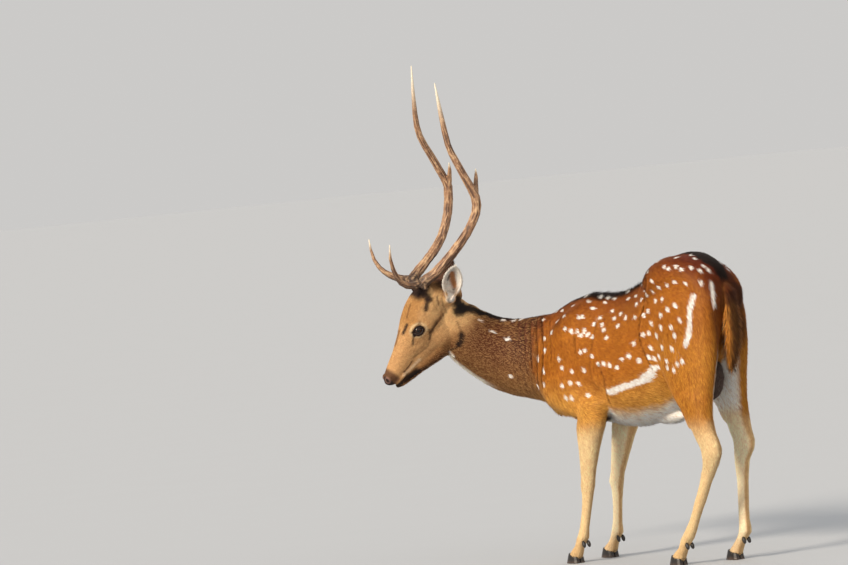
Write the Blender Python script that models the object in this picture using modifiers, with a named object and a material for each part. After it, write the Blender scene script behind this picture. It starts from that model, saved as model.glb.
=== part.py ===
"""A chital stag in hard antler as a still, life-size museum model.

It stands on level ground with its trunk along Y (head end towards -Y), its neck swung round
to its own left and its face turned down. All sizes are in metres, +Z is up.
The body is modelled whole from lofted masses, fused, and parted into named pieces by thin cuts.
"""

import math

import bmesh
import bpy
import numpy as np
from mathutils import Matrix, Vector
from mathutils.bvhtree import BVHTree

# Driving sizes of the animal
WITHERS = 0.862
CROUP = 0.983
BRISKET = 0.456
FORE_CUT = 0.452
HIND_CUT = 0.470
KNEE_CUT = 0.222
HOCK_CUT = 0.300
CLAW_WIDTH = 0.0205
CLAW_TOE = 0.034
CLAW_HEEL = 0.026
CLAW_FRONT_HEIGHT = 0.033
CLAW_BACK_HEIGHT = 0.019
CLEFT = 0.003
EYE_RADIUS = 0.0185
EYE_CENTRE = (0.0375, -0.173, 0.021)
EAR_THICKNESS = 0.0034
TAIL_WIDTH = 0.021
PELVIS_TILT = 0.018
BURR_RADIUS = 0.0240

# Where each foot stands along Y, measured at its knee or hock and at its fetlock
STANCE = {
    "fore_left": (0.082, 0.032),
    "fore_right": (0.045, 0.030),
    "hind_left": (0.672, 0.532),
    "hind_right": (0.630, 0.622),
}

# The head is modelled straight in its own frame (nose towards -Y, crown up) and then placed
HEAD_PLACE = Vector((0.24, -0.327, 0.905))
HEAD_TURN_DEG = 65.0
HEAD_DROP_DEG = 48.0
HEAD_TILT_DEG = 6.0
NECK_TOP = Vector((0.222, -0.324, 0.785))
NECK_TOP_AXIS = Vector((0.58, -0.25, 0.78)).normalized()
NECK_BASE = Vector((0.028, -0.150, 0.655))
NECK_BASE_AXIS = Vector((0.38, -0.92, 0.05)).normalized()

# Working sizes
GAP = 0.0003
BODY_VOXEL = 0.0045
HEAD_VOXEL = 0.0026
BODY_TRIANGLES = 4300
HEAD_TRIANGLES = 2300

UP = Vector((0.0, 0.0, 1.0))
AHEAD = Vector((0.0, -1.0, 0.0))
DOWN = Vector((0.0, 0.0, -1.0))
BACKWARD = Vector((0.0, 1.0, 0.0))
OUTWARD = Vector((1.0, 0.0, 0.0))
SIDES = {"left": 1, "right": -1}

# name: colour, roughness
MATERIALS = {
    "coat": ((0.560, 0.265, 0.090), 0.85),
    "neck_coat": ((0.330, 0.190, 0.110), 0.85),
    "face_coat": ((0.520, 0.330, 0.180), 0.80),
    "leg_coat": ((0.620, 0.400, 0.210), 0.80),
    "horn": ((0.020, 0.018, 0.017), 0.45),
    "antler": ((0.330, 0.220, 0.130), 0.60),
    "eye": ((0.015, 0.010, 0.008), 0.08),
    "skin": ((0.120, 0.095, 0.085), 0.70),
}


def clear_scene():
    for old in list(bpy.data.objects):
        bpy.data.objects.remove(old)


def head_matrix():
    turn = Matrix.Rotation(math.radians(HEAD_TURN_DEG), 4, "Z")
    drop = Matrix.Rotation(math.radians(HEAD_DROP_DEG), 4, "X")
    tilt = Matrix.Rotation(math.radians(HEAD_TILT_DEG), 4, "Y")
    return Matrix.Translation(HEAD_PLACE) @ turn @ drop @ tilt


HEAD = head_matrix()


# Helpers that make and change meshes


def mesh_object(name, shape, turn_out=True):
    if turn_out:
        bmesh.ops.recalc_face_normals(shape, faces=shape.faces)
    mesh = bpy.data.meshes.new(name)
    shape.to_mesh(mesh)
    shape.free()
    made = bpy.data.objects.new(name, mesh)
    bpy.context.scene.collection.objects.link(made)
    return made


def smooth_rows(stations, steps):
    """The stations with Catmull-Rom rows between them."""
    rows = np.array(stations, float)
    padded = np.vstack([2 * rows[0] - rows[1], rows, 2 * rows[-1] - rows[-2]])
    found = []
    for i in range(len(rows) - 1):
        a, b, c, d = padded[i : i + 4]
        for k in range(steps):
            t = k / steps
            bend = (2 * a - 5 * b + 4 * c - d) * t * t + (3 * b - a - 3 * c + d) * t**3
            found.append(0.5 * (2 * b + (c - a) * t + bend))
    found.append(rows[-1])
    return np.array(found)


def bridge(shape, rings):
    """Skins the rings into one closed tube."""
    count = len(rings[0])
    for first, second in zip(rings, rings[1:]):
        for k in range(count):
            n = (k + 1) % count
            shape.faces.new((first[k], first[n], second[n], second[k]))
    shape.faces.new(rings[0])
    shape.faces.new(list(reversed(rings[-1])))


def loft(name, stations, toward=UP, facing=None, sides=16, steps=3, crest=0.0, keel=0.0):
    """A closed tube through stations of (x, y, z, half width, reach towards, reach away).

    Sections stand across the path, or across facing where it is given. crest and keel pinch
    their upper and lower edges, and can stand in the stations as two more columns.
    """
    rows = smooth_rows(stations, steps)
    shape = bmesh.new()
    rings = []
    for i, row in enumerate(rows):
        before, after = rows[max(i - 1, 0)], rows[min(i + 1, len(rows) - 1)]
        along = facing or Vector(after[:3] - before[:3]).normalized()
        across = along.cross(toward).normalized()
        upward = across.cross(along).normalized()
        width, above, below = (max(float(v), 0.0008) for v in row[3:6])
        pinches = (row[6], row[7]) if len(row) > 6 else (crest, keel)
        ring = []
        for k in range(sides):
            angle = 2 * math.pi * k / sides
            rise = math.sin(angle)
            narrow = 1 - pinches[0 if rise > 0 else 1] * rise * rise
            point = Vector(row[:3]) + across * width * math.cos(angle) * narrow
            ring.append(shape.verts.new(point + upward * rise * (above if rise > 0 else below)))
        rings.append(ring)
    bridge(shape, rings)
    return mesh_object(name, shape)


def round_tube(name, stations, sides=10, steps=3, toward=AHEAD):
    """A round tube through stations of (x, y, z, radius)."""
    return loft(name, [(*s, s[3], s[3]) for s in stations], toward, sides=sides, steps=steps)


def ball(name, centre, radii, turn=None, segments=16, rings=10):
    """An ellipsoid."""
    shape = bmesh.new()
    bmesh.ops.create_uvsphere(shape, u_segments=segments, v_segments=rings, radius=1.0)
    shape.transform((turn or Matrix.Identity(4)) @ Matrix.Diagonal((*radii, 1.0)))
    shape.transform(Matrix.Translation(centre))
    return mesh_object(name, shape)


def slab(centre, normal, size):
    """A thin square plate that parts two pieces."""
    shape = bmesh.new()
    bmesh.ops.create_cube(shape, size=1.0)
    shape.transform(Matrix.Diagonal((size, size, GAP, 1.0)))
    shape.transform(Vector(normal).to_track_quat("Z", "Y").to_matrix().to_4x4())
    shape.transform(Matrix.Translation(centre))
    return mesh_object("slab", shape, turn_out=False)


def mirrored(points, side):
    return [(side * p[0], *p[1:]) for p in points]


def placed(thing, matrix=HEAD):
    """The object with the matrix worked into its mesh."""
    thing.data.transform(matrix)
    thing.data.update()
    return thing


def joined(name, things):
    """One mesh object that holds all of these closed shells."""
    shape = bmesh.new()
    for thing in things:
        shape.from_mesh(thing.data)
        bpy.data.objects.remove(thing)
    return mesh_object(name, shape)


def apply_modifier(thing, kind, **settings):
    modifier = thing.modifiers.new(kind.lower(), kind)
    for key, value in settings.items():
        setattr(modifier, key, value)
    graph = bpy.context.evaluated_depsgraph_get()
    thing.data = bpy.data.meshes.new_from_object(thing.evaluated_get(graph))
    thing.modifiers.clear()
    return thing


def loose_shells(shape):
    left = set(shape.faces)
    shells = []
    for seed in shape.faces:
        if seed not in left:
            continue
        left.remove(seed)
        shell, front = [seed], [seed]
        while front:
            near = {other for edge in front.pop().edges for other in edge.link_faces} & left
            left -= near
            shell += near
            front += near
        shells.append(sorted(shell, key=lambda face: face.index))
    return shells


def shell_volume(faces):
    total = 0.0
    for face in faces:
        corners = [v.co for v in face.verts]
        for i in range(1, len(corners) - 1):
            total += corners[0].dot(corners[i].cross(corners[i + 1])) / 6
    return abs(total)


def shells_apart(thing):
    """A new object for each loose shell of this one, the largest first."""
    shape = bmesh.new()
    shape.from_mesh(thing.data)
    shape.faces.index_update()
    found = []
    for faces in sorted(loose_shells(shape), key=shell_volume, reverse=True):
        corners = sorted({v for face in faces for v in face.verts}, key=lambda v: v.index)
        piece = bmesh.new()
        made = {v: piece.verts.new(v.co) for v in corners}
        for face in faces:
            piece.faces.new([made[v] for v in face.verts])
        found.append(mesh_object(thing.name, piece))
    shape.free()
    bpy.data.objects.remove(thing)
    return found


def largest_shell(thing):
    name = thing.name
    shells = shells_apart(thing)
    for spare in shells[1:]:
        bpy.data.objects.remove(spare)
    shells[0].name = name
    return shells[0]


def boolean(thing, others, operation, solver="MANIFOLD"):
    """Joins the others to the object, or cuts them out of it, and removes them."""
    for other in others:
        apply_modifier(thing, "BOOLEAN", operation=operation, object=other, solver=solver)
        bpy.data.objects.remove(other)
    return thing


def fused(name, masses, voxel, rounds, soften):
    """One smooth skin round all the masses. soften(point) gives the share of smoothing."""
    body = joined(name, masses)
    apply_modifier(body, "REMESH", mode="VOXEL", voxel_size=voxel)
    group = body.vertex_groups.new(name="soft")
    for vertex in body.data.vertices:
        group.add([vertex.index], soften(vertex.co), "REPLACE")
    apply_modifier(body, "SMOOTH", factor=0.5, iterations=rounds, vertex_group="soft")
    body.vertex_groups.clear()
    return largest_shell(body)


def thinned(thing, triangles):
    apply_modifier(thing, "TRIANGULATE")
    return apply_modifier(thing, "DECIMATE", ratio=min(1.0, triangles / len(thing.data.polygons)))


def is_closed(thing):
    shape = bmesh.new()
    shape.from_mesh(thing.data)
    closed = all(edge.is_contiguous for edge in shape.edges)
    shape.free()
    return closed


def triangulated(thing):
    """Makes triangles, in whichever way leaves the surface closed."""
    shape = bmesh.new()
    shape.from_mesh(thing.data)
    bmesh.ops.dissolve_degenerate(shape, dist=1e-5, edges=shape.edges)
    bmesh.ops.connect_verts_concave(shape, faces=shape.faces)
    shape.to_mesh(thing.data)
    shape.free()
    whole = thing.data
    for way in ("BEAUTY", "CLIP"):
        thing.data = whole.copy()
        apply_modifier(thing, "TRIANGULATE", ngon_method=way)
        if is_closed(thing):
            return thing
    print("left open", thing.name)
    return thing


def cut_by_plane(thing, point, normal):
    """Takes away what lies on the normal's side of the plane, and closes the cut."""
    shape = bmesh.new()
    shape.from_mesh(thing.data)
    everything = shape.verts[:] + shape.edges[:] + shape.faces[:]
    plane = {"plane_co": Vector(point), "plane_no": Vector(normal)}
    bmesh.ops.bisect_plane(shape, geom=everything, dist=1e-6, clear_outer=True, **plane)
    bmesh.ops.edgeloop_fill(shape, edges=[e for e in shape.edges if e.is_boundary])
    bmesh.ops.recalc_face_normals(shape, faces=shape.faces)
    shape.to_mesh(thing.data)
    shape.free()
    return thing


# Masses of the trunk


def trunk_masses():
    rows = [
        # y, half width, top, bottom, widest level, crest, keel
        (-0.165, 0.056, 0.765, 0.560, 0.66, 0.35, 0.20),
        (-0.110, 0.082, 0.798, 0.508, 0.65, 0.40, 0.22),
        (-0.040, 0.099, 0.832, 0.474, 0.64, 0.46, 0.24),
        (0.040, 0.109, 0.856, BRISKET + 0.003, 0.62, 0.50, 0.25),
        (0.120, 0.117, WITHERS, BRISKET, 0.61, 0.50, 0.22),
        (0.200, 0.125, 0.859, 0.444, 0.60, 0.44, 0.18),
        (0.280, 0.129, 0.868, 0.438, 0.60, 0.36, 0.14),
        (0.350, 0.127, 0.890, 0.448, 0.62, 0.28, 0.14),
        (0.400, 0.122, 0.920, 0.460, 0.66, 0.20, 0.16),
        (0.450, 0.116, 0.950, 0.480, 0.70, 0.10, 0.20),
        (0.510, 0.112, 0.973, 0.520, 0.75, 0.06, 0.20),
        (0.570, 0.109, CROUP, 0.580, 0.77, 0.08, 0.20),
        (0.628, 0.101, 0.974, 0.640, 0.78, 0.08, 0.20),
        (0.676, 0.084, 0.946, 0.680, 0.78, 0.06, 0.10),
        (0.706, 0.052, 0.900, 0.730, 0.79, 0.00, 0.00),
    ]
    stations = []
    for y, half, top, bottom, mid, crest, keel in rows:
        stations.append((0.0, y, mid, half, top - mid, mid - bottom, crest, keel))
    trunk = loft("trunk", stations, facing=BACKWARD, sides=28)
    sheath = ball("sheath", (0.0, 0.400, 0.466), (0.026, 0.085, 0.022))
    keel_bone = ball("keel_bone", (0.0, -0.085, 0.520), (0.034, 0.070, 0.045))
    return [trunk, sheath, keel_bone]


def neck_mass():
    stations = [
        (0.002, 0.020, 0.655, 0.088, 0.150, 0.150),
        (0.010, -0.080, 0.655, 0.092, 0.150, 0.142),
        (0.036, -0.165, 0.660, 0.088, 0.142, 0.136),
        (0.085, -0.238, 0.678, 0.078, 0.124, 0.124),
        (0.140, -0.284, 0.712, 0.069, 0.108, 0.108),
        (0.195, -0.312, 0.757, 0.062, 0.096, 0.096),
        (0.236, -0.330, 0.803, 0.055, 0.084, 0.084),
        (0.258, -0.338, 0.846, 0.048, 0.066, 0.066),
    ]
    return loft("neck", stations, sides=22, steps=4, crest=0.30, keel=0.15)


def shoulder_masses(side):
    blade = [
        (0.030, 0.110, 0.826, 0.018, 0.040, 0.040),
        (0.050, 0.078, 0.780, 0.032, 0.070, 0.075),
        (0.066, 0.030, 0.710, 0.042, 0.090, 0.095),
        (0.074, -0.025, 0.640, 0.044, 0.085, 0.095),
        (0.074, -0.062, 0.580, 0.040, 0.062, 0.070),
        (0.070, -0.070, 0.545, 0.028, 0.032, 0.036),
    ]
    upper_arm = [
        (0.066, -0.088, 0.610, 0.036, 0.050, 0.050),
        (0.076, -0.040, 0.580, 0.046, 0.075, 0.072),
        (0.086, 0.035, 0.550, 0.048, 0.095, 0.066),
        (0.089, 0.105, 0.515, 0.038, 0.080, 0.050),
        (0.088, 0.152, 0.492, 0.026, 0.038, 0.028),
    ]
    return [loft("blade", mirrored(blade, side), AHEAD), loft("upper_arm", mirrored(upper_arm, side))]


def haunch_masses(side, slide):
    rows = [
        # level, front, back, centre x, half width, share of the slide
        (0.910, 0.490, 0.650, 0.044, 0.042, 0.0),
        (0.865, 0.465, 0.690, 0.056, 0.054, 0.0),
        (0.800, 0.450, 0.714, 0.065, 0.062, 0.2),
        (0.730, 0.446, 0.722, 0.070, 0.062, 0.4),
        (0.665, 0.460, 0.722, 0.077, 0.057, 0.6),
        (0.600, 0.496, 0.712, 0.084, 0.050, 0.8),
        (0.545, 0.530, 0.704, 0.090, 0.044, 0.9),
        (0.490, 0.575, 0.698, 0.095, 0.037, 1.0),
        (0.440, 0.600, 0.698, 0.097, 0.030, 1.0),
    ]
    stations = []
    for z, front, back, x, half, share in rows:
        reach = (back - front) / 2
        stations.append((side * x, (front + back) / 2 + slide * share, z, half, reach, reach))
    thigh = loft("thigh", stations, AHEAD, DOWN, sides=22)
    lift = PELVIS_TILT if side > 0 else 0.0
    hip = [
        # x, y, z, radius
        (0.066, 0.436, 0.850 + lift, 0.036),
        (0.062, 0.484, 0.880 + lift, 0.056),
        (0.054, 0.545, 0.892 + lift, 0.064),
        (0.047, 0.612, 0.884 + lift, 0.062),
        (0.043, 0.668, 0.852 + lift / 2, 0.052),
        (0.040, 0.700, 0.810, 0.034),
    ]
    return [thigh, round_tube("hip", mirrored(hip, side), sides=16, toward=UP)]


# Legs. A station is (x, y, z, half width, reach forward, reach back)


def fore_leg_stations(knee_y, fetlock_y):
    lean = knee_y - fetlock_y
    return [
        (0.096, knee_y + 0.088, 0.530, 0.040, 0.072, 0.058),
        (0.095, knee_y + 0.068, 0.465, 0.039, 0.066, 0.054),
        (0.091, knee_y + 0.045, 0.405, 0.033, 0.053, 0.043),
        (0.086, knee_y + 0.025, 0.340, 0.027, 0.038, 0.034),
        (0.082, knee_y + 0.008, 0.285, 0.0215, 0.027, 0.027),
        (0.080, knee_y, 0.252, 0.0225, 0.026, 0.026),
        (0.079, knee_y - 0.14 * lean, 0.218, 0.0175, 0.0195, 0.0215),
        (0.078, knee_y - 0.40 * lean, 0.165, 0.0140, 0.0160, 0.0175),
        (0.077, knee_y - 0.75 * lean, 0.115, 0.0140, 0.0160, 0.0175),
        (0.076, fetlock_y, 0.084, 0.0185, 0.0195, 0.0220),
        (0.076, fetlock_y - 0.016, 0.058, 0.0165, 0.0160, 0.0175),
        (0.076, fetlock_y - 0.034, 0.034, 0.0205, 0.0225, 0.0235),
        (0.076, fetlock_y - 0.044, 0.014, 0.0215, 0.0250, 0.0250),
    ]


def hind_leg_stations(hock_y, fetlock_y):
    run = hock_y - fetlock_y
    return [
        (0.098, hock_y - 0.050, 0.540, 0.044, 0.074, 0.072),
        (0.098, hock_y - 0.030, 0.480, 0.037, 0.056, 0.054),
        (0.096, hock_y - 0.010, 0.425, 0.030, 0.044, 0.044),
        (0.093, hock_y + 0.004, 0.380, 0.025, 0.038, 0.047),
        (0.090, hock_y + 0.006, 0.350, 0.0245, 0.034, 0.043),
        (0.087, hock_y - 0.04 * run, 0.312, 0.0215, 0.027, 0.029),
        (0.084, hock_y - 0.27 * run, 0.255, 0.0175, 0.0205, 0.0220),
        (0.082, hock_y - 0.52 * run, 0.195, 0.0155, 0.0180, 0.0190),
        (0.080, hock_y - 0.80 * run, 0.130, 0.0155, 0.0180, 0.0190),
        (0.080, fetlock_y, 0.090, 0.0190, 0.0210, 0.0235),
        (0.080, fetlock_y - 0.022, 0.060, 0.0165, 0.0165, 0.0185),
        (0.080, fetlock_y - 0.044, 0.034, 0.0205, 0.0225, 0.0240),
        (0.080, fetlock_y - 0.054, 0.014, 0.0215, 0.0250, 0.0260),
    ]


def leg_parts():
    """For each leg its name, side, stations, the level of its lower cut and its foot's centre."""
    found = []
    for name, (joint_y, fetlock_y) in STANCE.items():
        end, hand = name.split("_")
        fore = end == "fore"
        stations = (fore_leg_stations if fore else hind_leg_stations)(joint_y, fetlock_y)
        foot = Vector((SIDES[hand] * stations[-1][0], stations[-1][1], 0.0))
        cut = KNEE_CUT if fore else HOCK_CUT
        found.append((name, SIDES[hand], mirrored(stations, SIDES[hand]), cut, foot))
    return found


def claw(name, foot, hand):
    """One half of a hoof, flat below, with a slanted top under the pastern."""
    inner, outer = CLEFT / 2, CLEFT / 2 + CLAW_WIDTH
    outline = [
        # across, along (toe is negative)
        (inner, CLAW_HEEL * 0.85),
        (inner + 0.004, CLAW_HEEL),
        (outer - 0.005, CLAW_HEEL * 0.95),
        (outer - 0.001, CLAW_HEEL * 0.60),
        (outer, 0.000),
        (outer - 0.002, -CLAW_TOE * 0.45),
        (outer - 0.007, -CLAW_TOE * 0.80),
        (inner + 0.007, -CLAW_TOE * 0.98),
        (inner + 0.002, -CLAW_TOE),
        (inner, -CLAW_TOE * 0.90),
        (inner, -CLAW_TOE * 0.30),
    ]
    shape = bmesh.new()
    rings = []
    for share in (0.0, 0.35, 0.7, 1.0):
        ring = []
        for across, along in outline:
            toe = max(0.0, -along / CLAW_TOE)
            back = along + share * (0.014 * toe - 0.003 * (1 - toe))
            narrow = inner + (across - inner) * (1 - 0.10 * share)
            height = CLAW_BACK_HEIGHT + (CLAW_FRONT_HEIGHT - CLAW_BACK_HEIGHT) * (CLAW_HEEL - back) / 0.046
            ring.append(shape.verts.new(foot + Vector((hand * narrow, back, height * share))))
        rings.append(ring)
    bridge(shape, rings)
    return mesh_object(name, shape)


def pastern_plane(foot):
    """The slanted plane just above the claws: a point on it and its downward normal."""
    slope = (CLAW_FRONT_HEIGHT - CLAW_BACK_HEIGHT) / 0.046
    normal = Vector((0.0, -slope, -1.0)).normalized()
    return foot + Vector((0.0, CLAW_HEEL, CLAW_BACK_HEIGHT)) - normal * GAP, normal


def dewclaw(name, foot, hand, grow=0.0):
    turn = Matrix.Rotation(math.radians(20), 4, "X")
    radii = (0.0062 + grow, 0.0070 + grow, 0.0120 + grow)
    return ball(name, foot + Vector((hand * 0.0105, 0.058, 0.062)), radii, turn, 8, 6)


def build_legs():
    """The nodes below knee and hock, each with its claws and dewclaws."""
    nodes = []
    for name, side, stations, cut, foot in leg_parts():
        shank = loft("lower_leg_" + name, stations[4:], AHEAD, DOWN, sides=12, steps=2)
        cut_by_plane(shank, (0.0, 0.0, cut - GAP / 2), UP)
        cut_by_plane(shank, *pastern_plane(foot))
        grown = [dewclaw("cutter", foot, hand, GAP) for hand in (1, -1)]
        boolean(shank, grown, "DIFFERENCE")
        nodes.append((largest_shell(shank), "leg_coat"))
        for place, hand in (("inner", -side), ("outer", side)):
            nodes.append((claw(f"claw_{name}_{place}", foot, hand), "horn"))
            nodes.append((dewclaw(f"dewclaw_{name}_{place}", foot, hand), "horn"))
    return nodes


# The head, in its own frame


def eye_centre(side):
    return Vector((side * EYE_CENTRE[0], EYE_CENTRE[1], EYE_CENTRE[2]))


def head_masses():
    skull = [
        (0.0, 0.022, -0.012, 0.038, 0.030, 0.045),
        (0.0, -0.020, 0.015, 0.052, 0.046, 0.068),
        (0.0, -0.065, 0.032, 0.058, 0.062, 0.078),
        (0.0, -0.105, 0.030, 0.059, 0.066, 0.072),
        (0.0, -0.145, 0.020, 0.054, 0.064, 0.062),
        (0.0, -0.185, 0.006, 0.046, 0.060, 0.052),
        (0.0, -0.225, -0.002, 0.037, 0.052, 0.044),
        (0.0, -0.265, -0.008, 0.0315, 0.044, 0.038),
        (0.0, -0.305, -0.011, 0.0290, 0.036, 0.032),
        (0.0, -0.335, -0.013, 0.0270, 0.029, 0.0255),
        (0.0, -0.354, -0.013, 0.0225, 0.022, 0.0195),
        (0.0, -0.365, -0.012, 0.0140, 0.013, 0.0120),
        (0.0, -0.370, -0.012, 0.0050, 0.005, 0.0050),
    ]
    jaw = [
        (0.0, -0.070, -0.078, 0.034, 0.050, 0.034),
        (0.0, -0.115, -0.086, 0.040, 0.050, 0.043),
        (0.0, -0.160, -0.087, 0.036, 0.044, 0.038),
        (0.0, -0.205, -0.080, 0.028, 0.036, 0.029),
        (0.0, -0.250, -0.070, 0.0235, 0.030, 0.0220),
        (0.0, -0.295, -0.060, 0.0205, 0.024, 0.0165),
        (0.0, -0.330, -0.052, 0.0180, 0.018, 0.0135),
        (0.0, -0.349, -0.048, 0.0120, 0.010, 0.0095),
        (0.0, -0.356, -0.047, 0.0050, 0.004, 0.0040),
    ]
    cheeks = [
        (0.0, -0.075, -0.048, 0.034, 0.045, 0.040),
        (0.0, -0.120, -0.047, 0.042, 0.045, 0.045),
        (0.0, -0.160, -0.045, 0.040, 0.044, 0.044),
        (0.0, -0.205, -0.041, 0.033, 0.038, 0.037),
        (0.0, -0.250, -0.038, 0.0265, 0.033, 0.030),
        (0.0, -0.290, -0.036, 0.0225, 0.026, 0.022),
        (0.0, -0.320, -0.035, 0.0190, 0.018, 0.013),
        (0.0, -0.338, -0.034, 0.0130, 0.010, 0.008),
    ]
    masses = [
        loft("skull", skull, sides=22, crest=0.12),
        loft("jaw", jaw, sides=18),
        loft("cheeks", cheeks, sides=18),
    ]
    for side in SIDES.values():
        eye = eye_centre(side)
        pedicle = [(0.028, -0.064, 0.050, 0.0200), (0.036, -0.057, 0.078, 0.0185), (0.041, -0.050, 0.094, 0.0180)]
        masses += [
            ball("orbit", eye, (EYE_RADIUS + 0.0042,) * 3),
            ball("brow", eye + Vector((side * 0.000, 0.010, 0.020)), (0.017, 0.034, 0.013)),
            ball("temple", (side * 0.042, -0.120, 0.010), (0.018, 0.045, 0.030)),
            ball("cheek", (side * 0.030, -0.118, -0.055), (0.020, 0.058, 0.058)),
            ball("jaw_angle", (side * 0.026, -0.080, -0.072), (0.022, 0.050, 0.036)),
            ball("cheek_bone", (side * 0.031, -0.180, -0.013), (0.012, 0.055, 0.017)),
            ball("nose_wing", (side * 0.0165, -0.349, -0.004), (0.0115, 0.015, 0.014)),
            ball("upper_lip", (side * 0.0180, -0.325, -0.034), (0.0110, 0.030, 0.0095)),
            ball("lower_lip", (side * 0.0125, -0.325, -0.047), (0.0085, 0.026, 0.0075)),
            ball("ear_root", (side * 0.050, -0.028, 0.006), (0.019, 0.021, 0.024)),
            round_tube("pedicle", mirrored(pedicle, side), sides=14),
        ]
    return [placed(mass) for mass in masses]


# Each ear's tip, and the way its cup opens, in the head's frame
EARS = {
    "left": ((0.114, 0.052, 0.070), (0.95, -0.15, 0.27)),
    "right": ((-0.098, 0.104, 0.036), (-0.90, -0.10, -0.30)),
}
EAR_ROOT = (0.050, -0.030, 0.002)


def ear_shell(side, tip, opening):
    """A cupped ear: nearly a tube at the root, then a wide cup that closes to the tip."""
    root = Vector((side * EAR_ROOT[0], *EAR_ROOT[1:]))
    axis = Vector(tip) - root
    length = axis.length
    axis.normalize()
    mouth = Vector(opening)
    mouth = (mouth - axis * mouth.dot(axis)).normalized()
    across = axis.cross(mouth)
    rows = [
        # share of length, half width, wrap in degrees, set back
        (0.00, 0.0130, 160, 0.010),
        (0.16, 0.0170, 150, 0.013),
        (0.32, 0.0240, 118, 0.017),
        (0.50, 0.0300, 88, 0.017),
        (0.68, 0.0290, 70, 0.013),
        (0.84, 0.0210, 58, 0.008),
        (0.95, 0.0110, 50, 0.003),
        (1.00, 0.0030, 50, 0.000),
    ]
    shape = bmesh.new()
    grid = []
    for share, half, wrap, back in smooth_rows(rows, 2):
        bend = math.radians(wrap)
        radius = half / math.sin(min(bend, math.pi / 2))
        ridge = root + axis * length * share - mouth * back
        line = []
        for k in range(9):
            angle = bend * (k / 4 - 1)
            point = ridge + across * radius * math.sin(angle) + mouth * radius * (1 - math.cos(angle))
            line.append(shape.verts.new(point))
        grid.append(line)
    for first, second in zip(grid, grid[1:]):
        for a in range(8):
            shape.faces.new((first[a], first[a + 1], second[a + 1], second[a]))
    ear = mesh_object("ear_shell", shape)
    apply_modifier(ear, "SOLIDIFY", thickness=EAR_THICKNESS, offset=0.0)
    return placed(ear)


def eye_opening(side):
    """The almond opening between the lids, as a cutter."""
    out = Vector((side * 0.955, -0.18, 0.16)).normalized()
    long_way = Vector((0.0, 0.844, -0.53))
    long_way = (long_way - out * long_way.dot(out)).normalized()
    high_way = out.cross(long_way)
    shape = bmesh.new()
    rings = []
    for depth, spread in ((0.004, 0.80), (0.0165, 0.92), (0.030, 1.35)):
        ring = []
        for k in range(16):
            angle = 2 * math.pi * k / 16
            high = 0.0122 * math.sin(angle) * (1 - 0.25 * math.cos(angle) ** 2)
            flat = long_way * 0.0178 * math.cos(angle) + high_way * high
            ring.append(shape.verts.new(eye_centre(side) + out * depth + flat * spread))
        rings.append(ring)
    bridge(shape, rings)
    return placed(mesh_object("opening", shape))


def surface_line(tree, points, side, sink):
    """Points laid on the skin of one side of the head at each (y, z)."""
    found = []
    for y, z in points:
        hit = tree.ray_cast(Vector((side * 0.2, y, z)), Vector((-side, 0.0, 0.0)))[0]
        found.append((hit.x - side * sink, y, z) if hit else (side * 0.001, y, z))
    return found


def face_cutters(head):
    """Mouth line, nostrils and scent gland slits."""
    straight = bmesh.new()
    straight.from_mesh(head.data)
    straight.transform(HEAD.inverted())
    tree = BVHTree.FromBMesh(straight)
    straight.free()
    corner = [(-0.301, -0.0500), (-0.318, -0.0435), (-0.334, -0.0400), (-0.348, -0.0375)]
    line = surface_line(tree, corner, 1, 0.0004)
    front = [(0.011, -0.3600, -0.0355), (0.0, -0.3650, -0.0345), (-0.011, -0.3600, -0.0355)]
    path = line + front + mirrored(reversed(line), -1)
    radii = [0.0010] + [0.0019] * (len(path) - 2) + [0.0010]
    cutters = [round_tube("mouth", [(*p, r) for p, r in zip(path, radii)], sides=6, steps=2, toward=UP)]
    for side in SIDES.values():
        turn = Matrix.Rotation(math.radians(38 * side), 4, "Z") @ Matrix.Rotation(math.radians(-25), 4, "X")
        cutters.append(ball("nostril", (side * 0.0185, -0.3610, -0.0005), (0.0038, 0.0085, 0.0058), turn, 12, 8))
        slit = surface_line(tree, [(-0.200, 0.020), (-0.209, 0.014), (-0.219, 0.007)], side, 0.0002)
        tube = [(*p, r) for p, r in zip(slit, (0.0012, 0.0026, 0.0010))]
        cutters.append(round_tube("gland", tube, sides=6, steps=2, toward=UP))
    return [placed(cutter) for cutter in cutters]


def build_head():
    """The head, ears and eyes."""
    head = fused("head", head_masses() + [neck_mass()], HEAD_VOXEL, 16, lambda point: 0.5)
    cut_by_plane(head, NECK_TOP + NECK_TOP_AXIS * GAP / 2, -NECK_TOP_AXIS)
    thinned(head, HEAD_TRIANGLES)
    cutters = [eye_opening(side) for side in SIDES.values()]
    for side in SIDES.values():
        cutters.append(placed(ball("socket", eye_centre(side), (EYE_RADIUS + GAP,) * 3, None, 14, 9)))
    cutters += [placed(whole_antler(name, GAP)) for name in SIDES]
    boolean(head, cutters + face_cutters(head), "DIFFERENCE")
    for name, (tip, opening) in EARS.items():
        boolean(head, [ear_shell(SIDES[name], tip, opening)], "UNION")
        root = Vector((SIDES[name] * EAR_ROOT[0], *EAR_ROOT[1:]))
        axis = (Vector(tip) - root).normalized()
        boolean(head, [placed(slab(root + axis * 0.034, axis, 0.088))], "DIFFERENCE")
    shells = shells_apart(head)
    nodes = [(shells[0], "face_coat")]
    shells[0].name = "head"
    for name, (tip, _) in EARS.items():
        place = HEAD @ Vector(tip)
        ear = min(shells[1:], key=lambda shell: min((place - v.co).length for v in shell.data.vertices))
        ear.name = "ear_" + name
        nodes.append((ear, "face_coat"))
    for spare in set(shells) - {thing for thing, _ in nodes}:
        bpy.data.objects.remove(spare)
    for name, side in SIDES.items():
        nodes.append((placed(ball("eye_" + name, eye_centre(side), (EYE_RADIUS,) * 3, None, 14, 9)), "eye"))
    return nodes


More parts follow.
